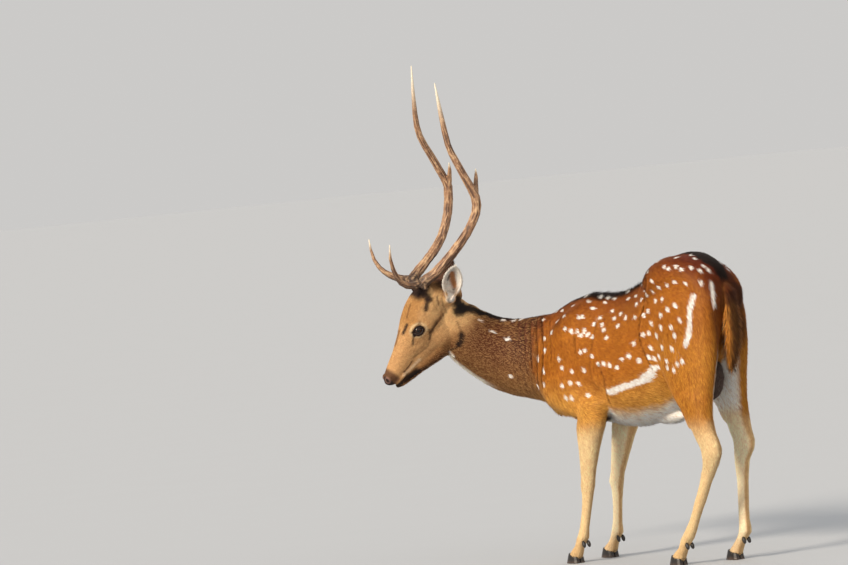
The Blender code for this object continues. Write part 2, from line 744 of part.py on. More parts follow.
# Antlers, in the head's frame: (x, y, z, radius), x counted outwards on either side
ANTLERS = {
    "left": {
        "beam": [
            (0.041, -0.057, 0.1005, 0.0190),
            (0.048, -0.036, 0.104, 0.0180),
            (0.062, 0.001, 0.095, 0.0165),
            (0.090, 0.084, 0.096, 0.0155),
            (0.118, 0.161, 0.107, 0.0148),
            (0.132, 0.228, 0.126, 0.0145),
            (0.135, 0.267, 0.160, 0.0150),
            (0.134, 0.293, 0.221, 0.0125),
            (0.130, 0.318, 0.281, 0.0112),
            (0.125, 0.345, 0.335, 0.0100),
            (0.118, 0.403, 0.406, 0.0078),
            (0.110, 0.476, 0.489, 0.0015),
        ],
        "brow": [
            (0.046, -0.042, 0.106, 0.0125),
            (0.051, -0.068, 0.124, 0.0125),
            (0.056, -0.083, 0.146, 0.0115),
            (0.062, -0.089, 0.170, 0.0100),
            (0.070, -0.085, 0.197, 0.0083),
            (0.078, -0.074, 0.224, 0.0066),
            (0.087, -0.054, 0.256, 0.0045),
            (0.095, -0.022, 0.287, 0.0013),
        ],
        "inner": [
            (0.134, 0.262, 0.154, 0.0100),
            (0.124, 0.296, 0.176, 0.0085),
            (0.112, 0.324, 0.191, 0.0058),
            (0.100, 0.346, 0.204, 0.0015),
        ],
    },
    "right": {
        "beam": [
            (0.041, -0.057, 0.1005, 0.0190),
            (0.049, -0.038, 0.108, 0.0180),
            (0.062, -0.006, 0.104, 0.0165),
            (0.090, 0.068, 0.092, 0.0155),
            (0.118, 0.140, 0.090, 0.0148),
            (0.132, 0.218, 0.117, 0.0145),
            (0.135, 0.285, 0.167, 0.0148),
            (0.134, 0.303, 0.207, 0.0128),
            (0.130, 0.330, 0.282, 0.0114),
            (0.125, 0.355, 0.351, 0.0100),
            (0.118, 0.402, 0.412, 0.0080),
            (0.110, 0.514, 0.519, 0.0015),
        ],
        "brow": [
            (0.046, -0.040, 0.110, 0.0125),
            (0.051, -0.058, 0.132, 0.0125),
            (0.054, -0.067, 0.152, 0.0115),
            (0.060, -0.073, 0.172, 0.0105),
            (0.066, -0.076, 0.196, 0.0090),
            (0.072, -0.074, 0.216, 0.0075),
            (0.080, -0.064, 0.243, 0.0055),
            (0.088, -0.043, 0.271, 0.0036),
            (0.095, -0.020, 0.294, 0.0013),
        ],
        "inner": [
            (0.134, 0.272, 0.156, 0.0100),
            (0.124, 0.305, 0.182, 0.0085),
            (0.112, 0.328, 0.204, 0.0058),
            (0.100, 0.343, 0.224, 0.0015),
        ],
    },
}
# Where each piece of an antler is parted: path, share of its stations, plate size
ANTLER_CUTS = (
    ("brow", 0.26, 0.034),
    ("inner", 0.42, 0.028),
    ("beam", 0.27, 0.042),
    ("beam", 0.455, 0.040),
    ("beam", 0.64, 0.036),
)


def path_point(stations, share):
    """A point and the direction of a path at a share of its stations."""
    rows = smooth_rows(stations, 20)
    at = min(int(share * (len(rows) - 1)), len(rows) - 2)
    here, there = Vector(rows[at][:3]), Vector(rows[at + 1][:3])
    return here, (there - here).normalized()


def whole_antler(name, grow=0.0):
    """The beam, the burr and the two tines in one piece, swelled by grow."""
    paths = {key: mirrored(path, SIDES[name]) for key, path in ANTLERS[name].items()}
    first, second = Vector(paths["beam"][0][:3]), Vector(paths["beam"][1][:3])
    along = (second - first).normalized()
    paths["beam"][0] = (*(first - along * grow), paths["beam"][0][3])
    wide = {key: [(*p[:3], p[3] + grow) for p in path] for key, path in paths.items()}
    beam = round_tube("antler", wide["beam"], 10, 2, OUTWARD)
    turn = along.to_track_quat("Z", "Y").to_matrix().to_4x4()
    radii = (BURR_RADIUS + grow, BURR_RADIUS + grow, 0.0075 + grow)
    burr = ball("burr", first + along * 0.006, radii, turn, 12, 6)
    tines = [round_tube(key, wide[key], 8, 1, OUTWARD) for key in ("brow", "inner")]
    return boolean(beam, [burr] + tines, "UNION", "EXACT")


def build_antler(name):
    paths = {key: mirrored(path, SIDES[name]) for key, path in ANTLERS[name].items()}
    antler = whole_antler(name)
    for path, share, size in ANTLER_CUTS:
        point, normal = path_point(paths[path], share)
        boolean(antler, [slab(point, normal, size)], "DIFFERENCE")
    seeds = {
        "base": path_point(paths["beam"], 0.10)[0],
        "beam": path_point(paths["beam"], 0.36)[0],
        "fork": path_point(paths["beam"], 0.54)[0],
        "top": path_point(paths["beam"], 0.95)[0],
        "brow_tine": path_point(paths["brow"], 0.90)[0],
        "inner_tine": path_point(paths["inner"], 0.90)[0],
    }
    nodes = []
    for piece in shells_apart(antler):
        spot = lambda key: min((seeds[key] - v.co).length for v in piece.data.vertices)
        piece.name = f"antler_{name}_{min(seeds, key=spot)}"
        nodes.append((placed(piece), "antler"))
    return nodes


# Assembly


def tail(name, grow=0.0):
    rows = [
        # y, z, half width, depth
        (0.683, 0.893, 0.0150, 0.0110),
        (0.708, 0.865, 0.0190, 0.0130),
        (0.722, 0.810, 0.0205, 0.0130),
        (0.727, 0.750, TAIL_WIDTH, 0.0130),
        (0.722, 0.690, 0.0190, 0.0115),
        (0.712, 0.645, 0.0120, 0.0085),
        (0.706, 0.622, 0.0040, 0.0040),
    ]
    stations = [(0.0, y, z, w + grow, d + grow, d + grow) for y, z, w, d in rows]
    return loft(name, stations, BACKWARD, sides=12, steps=2)


def scrotum(name, grow=0.0):
    turn = Matrix.Rotation(math.radians(-12), 4, "X")
    return ball(name, (0.0, 0.628, 0.575), (0.027 + grow, 0.029 + grow, 0.060 + grow), turn, 14, 10)


def body_softness(point):
    """Full smoothing on the trunk, little on the slender legs and none near the head."""
    if point.y < -0.22:
        return 0.15 if point.x < 0.20 else 0.05
    return min(1.0, max(0.06, (point.z - 0.44) / 0.12))


def build_body():
    """The torso, the neck and the upper legs."""
    masses = trunk_masses() + [neck_mass()]
    for name, side, stations, _, _ in leg_parts():
        masses.append(loft("leg", stations, AHEAD, DOWN))
        if name.startswith("fore"):
            masses += shoulder_masses(side)
        else:
            masses += haunch_masses(side, STANCE[name][0] - STANCE["hind_left"][0])
    masses += head_masses()
    body = fused("body", masses, BODY_VOXEL, 110, body_softness)
    cut_by_plane(body, NECK_TOP - NECK_TOP_AXIS * GAP / 2, NECK_TOP_AXIS)
    body = largest_shell(body)
    thinned(body, BODY_TRIANGLES * 1.25)
    cutters = [slab(NECK_BASE, NECK_BASE_AXIS, 0.40)]
    for name, side, _, _, _ in leg_parts():
        top = FORE_CUT if name.startswith("fore") else HIND_CUT
        middle = STANCE[name][0] + (0.06 if name.startswith("fore") else -0.02)
        cutters.append(slab(Vector((side * 0.108, middle, top)), UP, 0.2))
    cutters += [tail("tail_room", GAP), scrotum("scrotum_room", GAP)]
    boolean(body, cutters, "DIFFERENCE")
    seeds = {"torso": Vector((0.0, 0.25, 0.86)), "neck": Vector((0.14, -0.28, 0.82))}
    levels = {}
    for name, side, stations, cut, _ in leg_parts():
        seeds["upper_leg_" + name] = Vector(stations[3][:3])
        levels["upper_leg_" + name] = cut + GAP / 2
    nodes = []
    for piece in shells_apart(body):
        spot = lambda key: min((seeds[key] - v.co).length for v in piece.data.vertices)
        key = min(seeds, key=spot)
        del seeds[key]
        piece.name = key
        if key in levels:
            cut_by_plane(piece, (0.0, 0.0, levels[key]), DOWN)
        nodes.append((piece, {"torso": "coat", "neck": "neck_coat"}.get(key, "leg_coat")))
        if not seeds:
            break
    return nodes


def finish(nodes):
    """Sets the animal on its hooves over the origin, and files it with its materials."""
    group = bpy.data.collections.new("chital_stag")
    bpy.context.scene.collection.children.link(group)
    corners = np.array([v.co for thing, _ in nodes for v in thing.data.vertices])
    low, high = corners.min(axis=0), corners.max(axis=0)
    shift = Vector((-(low[0] + high[0]) / 2, -(low[1] + high[1]) / 2, -low[2]))
    for thing, kind in nodes:
        triangulated(thing)
        placed(thing, Matrix.Translation(shift))
        colour, roughness = MATERIALS[kind]
        material = bpy.data.materials.new(thing.name)
        material.use_nodes = True
        surface = material.node_tree.nodes["Principled BSDF"]
        surface.inputs["Base Color"].default_value = (*colour, 1.0)
        surface.inputs["Roughness"].default_value = roughness
        thing.data.materials.clear()
        thing.data.materials.append(material)
        for holder in list(thing.users_collection):
            holder.objects.unlink(thing)
        group.objects.link(thing)
    print("shift", tuple(round(v, 5) for v in shift))


def main():
    clear_scene()
    nodes = build_body() + build_legs() + build_head()
    nodes += build_antler("left") + build_antler("right")
    nodes += [(tail("tail"), "coat"), (scrotum("scrotum"), "skin")]
    finish(nodes)


main()
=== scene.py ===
import math
import bmesh
import bpy
import numpy as np
from mathutils import Matrix, Vector
from mathutils.bvhtree import BVHTree


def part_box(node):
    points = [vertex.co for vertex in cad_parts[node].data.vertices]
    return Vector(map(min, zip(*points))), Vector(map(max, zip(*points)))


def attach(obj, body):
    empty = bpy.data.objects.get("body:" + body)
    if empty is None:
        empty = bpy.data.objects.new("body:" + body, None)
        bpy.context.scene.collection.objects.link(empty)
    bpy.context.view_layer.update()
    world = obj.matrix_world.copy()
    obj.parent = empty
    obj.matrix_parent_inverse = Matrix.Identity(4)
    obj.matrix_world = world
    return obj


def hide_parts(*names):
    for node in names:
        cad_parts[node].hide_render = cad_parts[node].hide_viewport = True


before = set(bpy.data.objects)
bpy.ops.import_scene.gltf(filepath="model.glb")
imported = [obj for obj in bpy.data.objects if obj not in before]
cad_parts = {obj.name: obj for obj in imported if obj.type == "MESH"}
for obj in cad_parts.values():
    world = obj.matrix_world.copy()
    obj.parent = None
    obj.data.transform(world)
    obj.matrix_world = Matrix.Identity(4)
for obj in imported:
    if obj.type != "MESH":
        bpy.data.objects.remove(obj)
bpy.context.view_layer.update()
print("frame loaded,", len(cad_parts), "solids")

# The solids' own drawing frame: x to the animal's left, y to its tail, z up, fore feet near y = 0.
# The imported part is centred, so the scrotum, drawn at a known place, gives how far it was moved.
scrotumDrawn = Vector((0.0, 0.628, 0.575))
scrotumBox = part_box("scrotum")
moved = (scrotumBox[0] + scrotumBox[1]) / 2 - scrotumDrawn
moved.z = 0.0
movedArray = np.array(moved)

headPlace = {"at": (0.24, -0.327, 0.905), "turnDeg": 65.0, "dropDeg": 48.0, "tiltDeg": 6.0}
headMatrix = (
    Matrix.Translation(Vector(headPlace["at"]) + moved)
    @ Matrix.Rotation(math.radians(headPlace["turnDeg"]), 4, "Z")
    @ Matrix.Rotation(math.radians(headPlace["dropDeg"]), 4, "X")
    @ Matrix.Rotation(math.radians(headPlace["tiltDeg"]), 4, "Y")
)
headTurn = np.array(headMatrix.to_3x3())
headAt = np.array(headMatrix.translation)
sides = {"left": 1, "right": -1}


# Small tools


def toLinear(hexCode):
    parts = [int(hexCode[i : i + 2], 16) / 255 for i in (1, 3, 5)]
    return np.array([c / 12.92 if c <= 0.04045 else ((c + 0.055) / 1.055) ** 2.4 for c in parts])


def opaque(hexCode):
    return (*toLinear(hexCode), 1.0)


def setSockets(tree, node, sockets):
    for key, value in sockets.items():
        if isinstance(value, bpy.types.NodeSocket):
            tree.links.new(value, node.inputs[key])
        else:
            node.inputs[key].default_value = value


def addNode(tree, kind, sockets=None, **settings):
    node = tree.nodes.new("ShaderNode" + kind)
    for name, value in settings.items():
        setattr(node, name, value)
    setSockets(tree, node, sockets or {})
    return node


def newMaterial(name):
    material = bpy.data.materials.new(name)
    material.use_nodes = True
    tree = material.node_tree
    return material, tree, tree.nodes["Principled BSDF"]


# Noise scale for a grain of so many millimetres
def perMetre(millimetres):
    return 1000.0 / millimetres


# From 0 at start to 1 at full, eased at both ends; start may be the larger of the two
def smoothStep(values, start, full):
    share = np.clip((values - start) / (full - start), 0.0, 1.0)
    return share * share * (3 - 2 * share)


# 1 at the centre, falling off like a bell over the given half width
def bell(distance, half, power=2):
    return np.exp(-((distance / half) ** power))


def unit(vectors):
    return vectors / np.maximum(np.linalg.norm(vectors, axis=-1, keepdims=True), 1e-12)


# Large odd numbers that scatter the cells' values, and how far each seed moves the pattern
scatter = {"cells": (73856093, 19349663, 83492791), "last": 1274126177, "seedStep": 31.7}


# Smooth random lumps from -1 to 1, each about size across
def lumps(points, size, seed=0):
    spot = points / size + scatter["seedStep"] * seed
    cell = np.floor(spot).astype(np.int64)
    part = spot - cell
    part = part * part * (3 - 2 * part)
    total = np.zeros(len(points))
    for corner in range(8):
        step = np.array([corner & 1, corner >> 1 & 1, corner >> 2 & 1])
        keys = (cell + step) * np.array(scatter["cells"])
        key = keys[:, 0] ^ keys[:, 1] ^ keys[:, 2]
        key = (key ^ (key >> 13)) * scatter["last"] & 0xFFFFFF
        share = np.prod(np.where(step == 1, part, 1 - part), axis=1)
        total += share * (key / 0x7FFFFF - 1.0)
    return total


def smoothAll(mesh):
    mesh.polygons.foreach_set("use_smooth", np.ones(len(mesh.polygons), bool))


def makeMesh(name, points, triangles):
    mesh = bpy.data.meshes.new(name)
    mesh.vertices.add(len(points))
    mesh.vertices.foreach_set("co", points.astype(np.float32).ravel())
    mesh.loops.add(triangles.size)
    mesh.loops.foreach_set("vertex_index", triangles.astype(np.int32).ravel())
    mesh.polygons.add(len(triangles))
    mesh.polygons.foreach_set("loop_start", np.arange(0, triangles.size, 3, dtype=np.int32))
    smoothAll(mesh)
    mesh.update(calc_edges=True)
    return mesh


def addObject(name, data):
    thing = bpy.data.objects.new(name, data)
    bpy.context.scene.collection.objects.link(thing)
    return thing


def finishPiece(piece, material, slot, *nodes):
    smoothAll(piece.data)
    piece.data.materials.clear()
    piece.data.materials.append(material)
    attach(piece, "root")
    if nodes:
        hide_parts(*nodes)


def selectOnly(thing):
    bpy.ops.object.select_all(action="DESELECT")
    bpy.context.view_layer.objects.active = thing
    thing.select_set(True)


def applyModifier(thing, kind, **settings):
    selectOnly(thing)
    modifier = thing.modifiers.new(kind.lower(), kind)
    for key, value in settings.items():
        setattr(modifier, key, value)
    bpy.ops.object.modifier_apply(modifier=modifier.name)


def readPoints(mesh):
    points = np.empty(len(mesh.vertices) * 3, np.float32)
    mesh.vertices.foreach_get("co", points)
    return points.reshape(-1, 3).astype(float)


def writePoints(mesh, points):
    mesh.vertices.foreach_set("co", points.astype(np.float32).ravel())
    mesh.update()


def readNormals(mesh):
    normals = np.empty(len(mesh.vertices) * 3, np.float32)
    mesh.vertices.foreach_get("normal", normals)
    return normals.reshape(-1, 3).astype(float)


def readTriangles(mesh):
    mesh.calc_loop_triangles()
    corners = np.empty(len(mesh.loop_triangles) * 3, np.int32)
    mesh.loop_triangles.foreach_get("vertices", corners)
    return corners.reshape(-1, 3)


mergeWithin = 2e-6  # corners of the solids' loose triangles closer than this are one


# Which points each point is joined to, in the form that average() reads
def edgeWeb(mesh):
    edges = np.empty(len(mesh.edges) * 2, np.int32)
    mesh.edges.foreach_get("vertices", edges)
    edges = edges.reshape(-1, 2)
    first = np.r_[edges[:, 0], edges[:, 1]]
    other = np.r_[edges[:, 1], edges[:, 0]]
    order = np.argsort(first, kind="stable")
    starts = np.searchsorted(first[order], np.arange(len(mesh.vertices)))
    counts = np.diff(np.r_[starts, len(first)])
    return other[order], starts, counts


def average(web, values):
    others, starts, counts = web
    return np.add.reduceat(values[others], starts, axis=0) / counts[:, None]


# Smooths without shrinking: each round pulls in, then pushes nearly as far out
def evenOut(web, points, rounds, strength, inward=0.63, outward=-0.66):
    for _ in range(rounds):
        points = points + inward * strength * (average(web, points) - points)
        points = points + outward * strength * (average(web, points) - points)
    return points


# Copies of solids as one closed skin: swelled a little, so that they run together, and remeshed
def remeshedCopies(name, nodes, swell, voxel):
    whole = bmesh.new()
    for node in nodes:
        shape = bmesh.new()
        shape.from_mesh(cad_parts[node].data)
        bmesh.ops.remove_doubles(shape, verts=shape.verts, dist=mergeWithin)
        shape.normal_update()
        for v in shape.verts:
            v.co += v.normal * swell
        spare = bpy.data.meshes.new("spare")
        shape.to_mesh(spare)
        shape.free()
        whole.from_mesh(spare)
        bpy.data.meshes.remove(spare)
    mesh = bpy.data.meshes.new(name)
    whole.to_mesh(mesh)
    whole.free()
    thing = addObject(name, mesh)
    applyModifier(thing, "REMESH", mode="VOXEL", voxel_size=voxel, adaptivity=0.0)
    return thing


def addColour(mesh, name, colours):
    layer = mesh.color_attributes.new(name, "FLOAT_COLOR", "POINT")
    full = np.ones((len(colours), 4), np.float32)
    full[:, :3] = colours
    layer.data.foreach_set("color", full.ravel())


def addValue(mesh, name, values):
    layer = mesh.attributes.new(name, "FLOAT", "POINT")
    layer.data.foreach_set("value", values.astype(np.float32))


def addVector(mesh, name, values):
    layer = mesh.attributes.new(name, "FLOAT_VECTOR", "POINT")
    layer.data.foreach_set("vector", values.astype(np.float32).ravel())


# Camera: the photograph's viewing angle, fitted from the animal's proportions.
# pivotPixel is where the drawing frame's origin is seen, pixelsPerMetre the scale there
photoView = {
    "turnDeg": 50.0,
    "riseDeg": 2.0,
    "rollDeg": 5.0,
    "distance": 16.0,
    "pixelsPerMetre": 310.0,
    "pivotPixel": (596.0, 560.0),
    "pixels": (848.0, 565.0),
    "sensorMm": 36.0,
    "clipEnd": 100.0,
}


def viewAxes():
    turn, rise, roll = (math.radians(photoView[k]) for k in ("turnDeg", "riseDeg", "rollDeg"))
    level = math.cos(rise)
    back = Vector((math.cos(turn) * level, math.sin(turn) * level, math.sin(rise)))
    sideways = Vector((-math.sin(turn), math.cos(turn), 0.0))
    upright = back.cross(sideways)
    right = sideways * math.cos(roll) - upright * math.sin(roll)
    up = sideways * math.sin(roll) + upright * math.cos(roll)
    wide, high = photoView["pixels"]
    pivot, scale = photoView["pivotPixel"], photoView["pixelsPerMetre"]
    target = right * (wide / 2 - pivot[0]) / scale + up * (pivot[1] - high / 2) / scale + moved
    return right, up, back, target


viewRight, viewUp, viewBack, viewTarget = viewAxes()
viewFrom = viewTarget + viewBack * photoView["distance"]


# Where the line of sight through a pixel of the photograph meets the skin, or None
def photoPoint(tree, across, down):
    wide, high = photoView["pixels"]
    scale = photoView["pixelsPerMetre"]
    aim = viewTarget + viewRight * (across - wide / 2) / scale + viewUp * (high / 2 - down) / scale
    return tree.ray_cast(viewFrom, (aim - viewFrom).normalized())[0]


def addCamera():
    data = bpy.data.cameras.new("photoCamera")
    camera = addObject("photoCamera", data)
    axes = Matrix((viewRight, viewUp, viewBack)).transposed().to_4x4()
    camera.matrix_world = Matrix.Translation(viewFrom) @ axes
    data.sensor_width = photoView["sensorMm"]
    seenWidth = photoView["pixels"][0] / photoView["pixelsPerMetre"]
    data.lens = photoView["sensorMm"] * photoView["distance"] / seenWidth
    data.clip_end = photoView["clipEnd"]
    bpy.context.scene.camera = camera


addCamera()


# Skin: one smooth shell in place of all the solids of flesh

skin = {
    "voxel": 0.0021,
    "swell": 0.0006,
    "triangles": 185000,
    "firstRounds": 5,
    "formRounds": 26,  # smoothing of the whole form
    "kindRounds": 14,  # how far one kind of coat runs into the next
    "wayRounds": 30,  # and the way the hair lies
    "normalRounds": 6,
    "shade": 0.90,  # under-fur against the hair above it
}
# The coats of head, ears and legs that several kinds of flesh share: hair length, width, thickness
# and depth of the coat in metres, how far the hair stands off in degrees, how much the form under
# it is smoothed, and how far one lock differs in tone from the next
earHair = {"hair": (0.0055, 0.0010, 0.0003, 0.0003), "lift": 8.0, "soften": 0.05, "grain": 0.12}
shinHair = {"hair": (0.0065, 0.0013, 0.0004, 0.0010), "lift": 8.0, "soften": 0.4, "grain": 0.14}
thighHair = {"lift": 8.0, "soften": 0.6}
# The same for each kind of flesh, with the way its hair lies: in the head's frame on head and ears
fleshKinds = {
    "torso": {
        "hair": (0.0150, 0.0024, 0.0007, 0.0032), "lift": 9.0, "soften": 1.0, "grain": 0.32,
        "lie": (0.0, 1.0, -0.28),
    },
    "neck": {
        "hair": (0.0130, 0.0021, 0.0007, 0.0040), "lift": 13.0, "soften": 0.9, "grain": 0.34,
        "lie": (-0.66, 0.60, -0.45),
    },
    "head": {
        "hair": (0.0048, 0.0012, 0.0004, 0.0008), "lift": 10.0, "soften": 0.35, "grain": 0.27,
        "lie": (0.0, 1.0, -0.25),
    },
    "ear_left": {**earHair, "lie": (0.064, 0.082, 0.068)},
    "ear_right": {**earHair, "lie": (-0.048, 0.134, 0.034)},
    "tail": {
        "hair": (0.0430, 0.0034, 0.0010, 0.0040), "lift": 21.0, "soften": 0.6, "grain": 0.35,
        "lie": (0.0, 0.05, -1.0),
    },
    "scrotum": {
        "hair": (0.0085, 0.0013, 0.0004, 0.0010), "lift": 17.0, "soften": 0.6, "grain": 0.55,
        "lie": (0.0, 0.0, -1.0),
    },
    "upper_leg_fore": {
        **thighHair, "hair": (0.0100, 0.0018, 0.0005, 0.0018), "grain": 0.20,
        "lie": (0.0, 0.16, -1.0),
    },
    "upper_leg_hind": {
        **thighHair, "hair": (0.0110, 0.0018, 0.0005, 0.0018), "grain": 0.22,
        "lie": (0.0, 0.25, -1.0),
    },
    "lower_leg_fore": {**shinHair, "lie": (0.0, 0.05, -1.0)},
    "lower_leg_hind": {**shinHair, "lie": (0.0, -0.05, -1.0)},
}
kindNames = list(fleshKinds)


def kindOf(node):
    return next((index for index, kind in enumerate(kindNames) if node.startswith(kind)), None)


fleshNodes = sorted(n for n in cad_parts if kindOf(n) is not None)


# All solids of flesh as one search tree, and the kind of each of its triangles
def fleshTree():
    points, corners, kinds = [], [], []
    for node in fleshNodes:
        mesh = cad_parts[node].data
        triangles = readTriangles(mesh) + sum(len(p) for p in points)
        points.append(readPoints(mesh))
        corners.append(triangles)
        kinds += [kindOf(node)] * len(triangles)
    tree = BVHTree.FromPolygons(np.concatenate(points).tolist(), np.concatenate(corners).tolist())
    return tree, np.array(kinds)


def buildSkin():
    thing = remeshedCopies("skin", fleshNodes, skin["swell"], skin["voxel"])
    web = edgeWeb(thing.data)
    points = evenOut(web, readPoints(thing.data), skin["firstRounds"], 1.0)
    writePoints(thing.data, points)
    print("skin remeshed,", len(points), "points")
    share = skin["triangles"] / (2.0 * len(thing.data.polygons))
    if share < 1.0:
        applyModifier(thing, "DECIMATE", ratio=share, use_collapse_triangulate=True)
    print("skin thinned,", len(thing.data.polygons), "faces")
    return thing


skinPiece = buildSkin()
skinWeb = edgeWeb(skinPiece.data)
solidTree, solidKinds = fleshTree()
skinPoints = readPoints(skinPiece.data)
nearest = np.array([solidKinds[solidTree.find_nearest(p)[2]] for p in skinPoints.tolist()])
skinShares = np.eye(len(kindNames))[nearest]
for _ in range(skin["kindRounds"]):
    skinShares = average(skinWeb, skinShares)


# A setting of fleshKinds, mixed by how much of each kind a place is
def kindValue(shares, key, index=None):
    values = [kind[key] for kind in fleshKinds.values()]
    return shares @ np.array(values if index is None else [v[index] for v in values], float)


def toHead(points):
    return (points - headAt) @ headTurn


def toDrawn(points):
    return points - movedArray


def shareOf(shares, *kinds):
    return sum(shares[:, kindNames.index(kind)] for kind in kinds)


# Places on the head, in its own frame; the left eye, mirrored for the right
eyePlaces = {
    "centre": (0.0375, -0.173, 0.021),
    "radius": 0.0185,
    "out": (0.955, -0.18, 0.16),
    "longWay": (0.0, 0.844, -0.53),
    "halfLong": 0.0178,
    "halfHigh": 0.0122,
    "spread": 0.88,
    "cornerPinch": 0.25,  # how much the lids close towards the corners
    "sharpWithin": 0.030,
    "bareWithin": 0.026,
}
mouthLine = [
    (0.0, -0.3650, -0.0345), (0.011, -0.360, -0.0355), (0.0185, -0.348, -0.0375),
    (0.0205, -0.334, -0.0400), (0.0215, -0.318, -0.0435), (0.0220, -0.301, -0.0500),
    (0.0225, -0.288, -0.0540),
]
glandSlit = [(0.041, -0.200, 0.020), (0.039, -0.209, 0.014), (0.036, -0.219, 0.007)]


def eyeFrame(side):
    out = Vector((side * eyePlaces["out"][0], *eyePlaces["out"][1:])).normalized()
    longWay = Vector(eyePlaces["longWay"])
    longWay = (longWay - out * longWay.dot(out)).normalized()
    centre = Vector((side * eyePlaces["centre"][0], *eyePlaces["centre"][1:]))
    return centre, out, longWay, out.cross(longWay)


# A point of the lids' edge on the eyeball, in the head's frame
def lidPoint(side, angle):
    centre, out, longWay, highWay = eyeFrame(side)
    pinch = 1 - eyePlaces["cornerPinch"] * math.cos(angle) ** 2
    high = eyePlaces["halfHigh"] * math.sin(angle) * pinch
    flat = longWay * eyePlaces["halfLong"] * math.cos(angle) + highWay * high
    flat *= eyePlaces["spread"]
    return centre + out * math.sqrt(eyePlaces["radius"] ** 2 - flat.length_squared) + flat


# Distance of each point from a path
def toPath(points, path):
    best = np.full(len(points), 1e9)
    for start, end in zip(path, path[1:]):
        a, b = np.array(start), np.array(end)
        along = np.clip((points - a) @ (b - a) / ((b - a) @ (b - a)), 0, 1)
        best = np.minimum(best, np.linalg.norm(points - a - along[:, None] * (b - a), axis=1))
    return best


# Head points with the right half laid over the left
def onBothSides(points):
    folded = points.copy()
    folded[:, 0] = np.abs(folded[:, 0])
    return folded


def eyeDistance(headPoints):
    return np.linalg.norm(onBothSides(headPoints) - np.array(eyePlaces["centre"]), axis=1)


# Creases of the hide, as photograph pixels: half width and depth in metres, and how much painted
# shade darkens them
creases = {
    "flank": (
        [
            (644, 306), (639.5, 319), (638.2, 329.5), (638.9, 340), (642, 348.5), (646, 357.5),
            (649.7, 365), (653, 371.5),
        ],
        0.0034, 0.0040, 0.75,
    ),
    "hip": ([(646, 280), (645, 292), (644, 306)], 0.0050, 0.0030, 0.35),
    "elbowBack": (
        [(598, 365), (602.5, 375.5), (605, 388), (607.6, 399.5), (613, 410)],
        0.0036, 0.0035, 0.55,
    ),
    "elbowFront": (
        [
            (596, 323), (593.6, 334.5), (591, 345), (589.1, 357.5), (589.5, 368), (591.5, 382),
            (597, 387), (603.5, 390),
        ],
        0.0040, 0.0022, 0.40,
    ),
    "shoulder": ([(574.4, 336), (575, 351), (579.5, 361.5)], 0.0042, 0.0020, 0.40),
    "neckBaseA": (
        [(541.3, 318), (542.6, 334), (543.2, 350), (542.6, 366), (541.5, 380), (544, 392)],
        0.0040, 0.0040, 0.70,
    ),
    "neckBaseB": (
        [(536.5, 318), (536.0, 333), (537.2, 348), (537.0, 364), (537.6, 378), (540, 391)],
        0.0034, 0.0036, 0.85,
    ),
    "neckBaseC": (
        [(530.5, 317), (529.5, 331), (530.2, 346), (531.0, 362), (532, 374)],
        0.0034, 0.0032, 0.80,
    ),
    "neckBaseD": ([(524.0, 319), (523.0, 333), (524.4, 349), (525.5, 362)], 0.0032, 0.0028, 0.70),
    "neckBaseE": ([(517.5, 320), (516.8, 333), (518.2, 347)], 0.0030, 0.0022, 0.55),
    "neckBaseF": ([(549.5, 322), (550.4, 336), (551.2, 350), (550.4, 364)], 0.0030, 0.0020, 0.45),
}
# Relief of the hide: depths and half widths or sizes in metres
folds = {
    "bend": (-0.38, 0.92),  # the neck's bend runs this way across the trunk: x and y
    "neckAt": -0.135,
    "neckHalf": 0.050,
    "neckAbove": (0.56, 0.66),
    "neckDeep": 0.0015,
    "neckStep": 0.0135,
    "neckWaver": (0.35, 0.050),
    "creaseSide": (0.45, 2.4, 1.3),  # the roll beside a crease: height, place and width of its own
    "mouth": (0.0022, 0.0028),
    "gland": (0.0020, 0.0030),
    "muscle": (0.0008, 0.045),
    "tendon": (0.0012, 0.016, (1.0, 1.0, 0.30)),  # with how each way is stretched
    "scrotum": (0.0016, 0.012, (0.7, 0.7, 1.6)),
    "eyeKeeps": 0.9,  # how little of the smoothing reaches eye and muzzle
    "muzzleKeeps": 0.7,
    "muzzleFrom": (-0.315, -0.335),
}
# The form under the coat is smoothed, sunk by the coat's depth, and given folds
headPoints = onBothSides(toHead(skinPoints))
nearEye = bell(eyeDistance(headPoints), eyePlaces["sharpWithin"], 4)
keepSharp = 1 - folds["eyeKeeps"] * nearEye
keepSharp *= 1 - folds["muzzleKeeps"] * smoothStep(headPoints[:, 1], *folds["muzzleFrom"])
softness = (kindValue(skinShares, "soften") * keepSharp)[:, None]
skinPoints = evenOut(skinWeb, skinPoints, skin["formRounds"], softness)
writePoints(skinPiece.data, skinPoints)
skinNormals = readNormals(skinPiece.data)
bare = bell(eyeDistance(toHead(skinPoints)), eyePlaces["bareWithin"], 4)
depth = kindValue(skinShares, "hair", 3) * (1 - bare)
skinPoints = skinPoints - skinNormals * depth[:, None]


# Place of a chain of photograph pixels on the skin, and of its mirror image
def chainOnSkin(tree, pixels, steps):
    near, far = [], []
    for start, end in zip(pixels, pixels[1:]):
        for step in range(steps):
            across = start[0] + (end[0] - start[0]) * step / steps
            down = start[1] + (end[1] - start[1]) * step / steps
            hit = photoPoint(tree, across, down)
            if hit is None:
                continue
            near.append(tuple(hit))
            other = acrossTrunk(tree, hit)
            if other is not None:
                far.append(tuple(other))
    return [np.array(chain) for chain in (near, far) if len(chain) > 1]


crossing = {"rumpFrom": 0.66, "behind": 0.30, "beside": 0.40, "reach": 0.50}


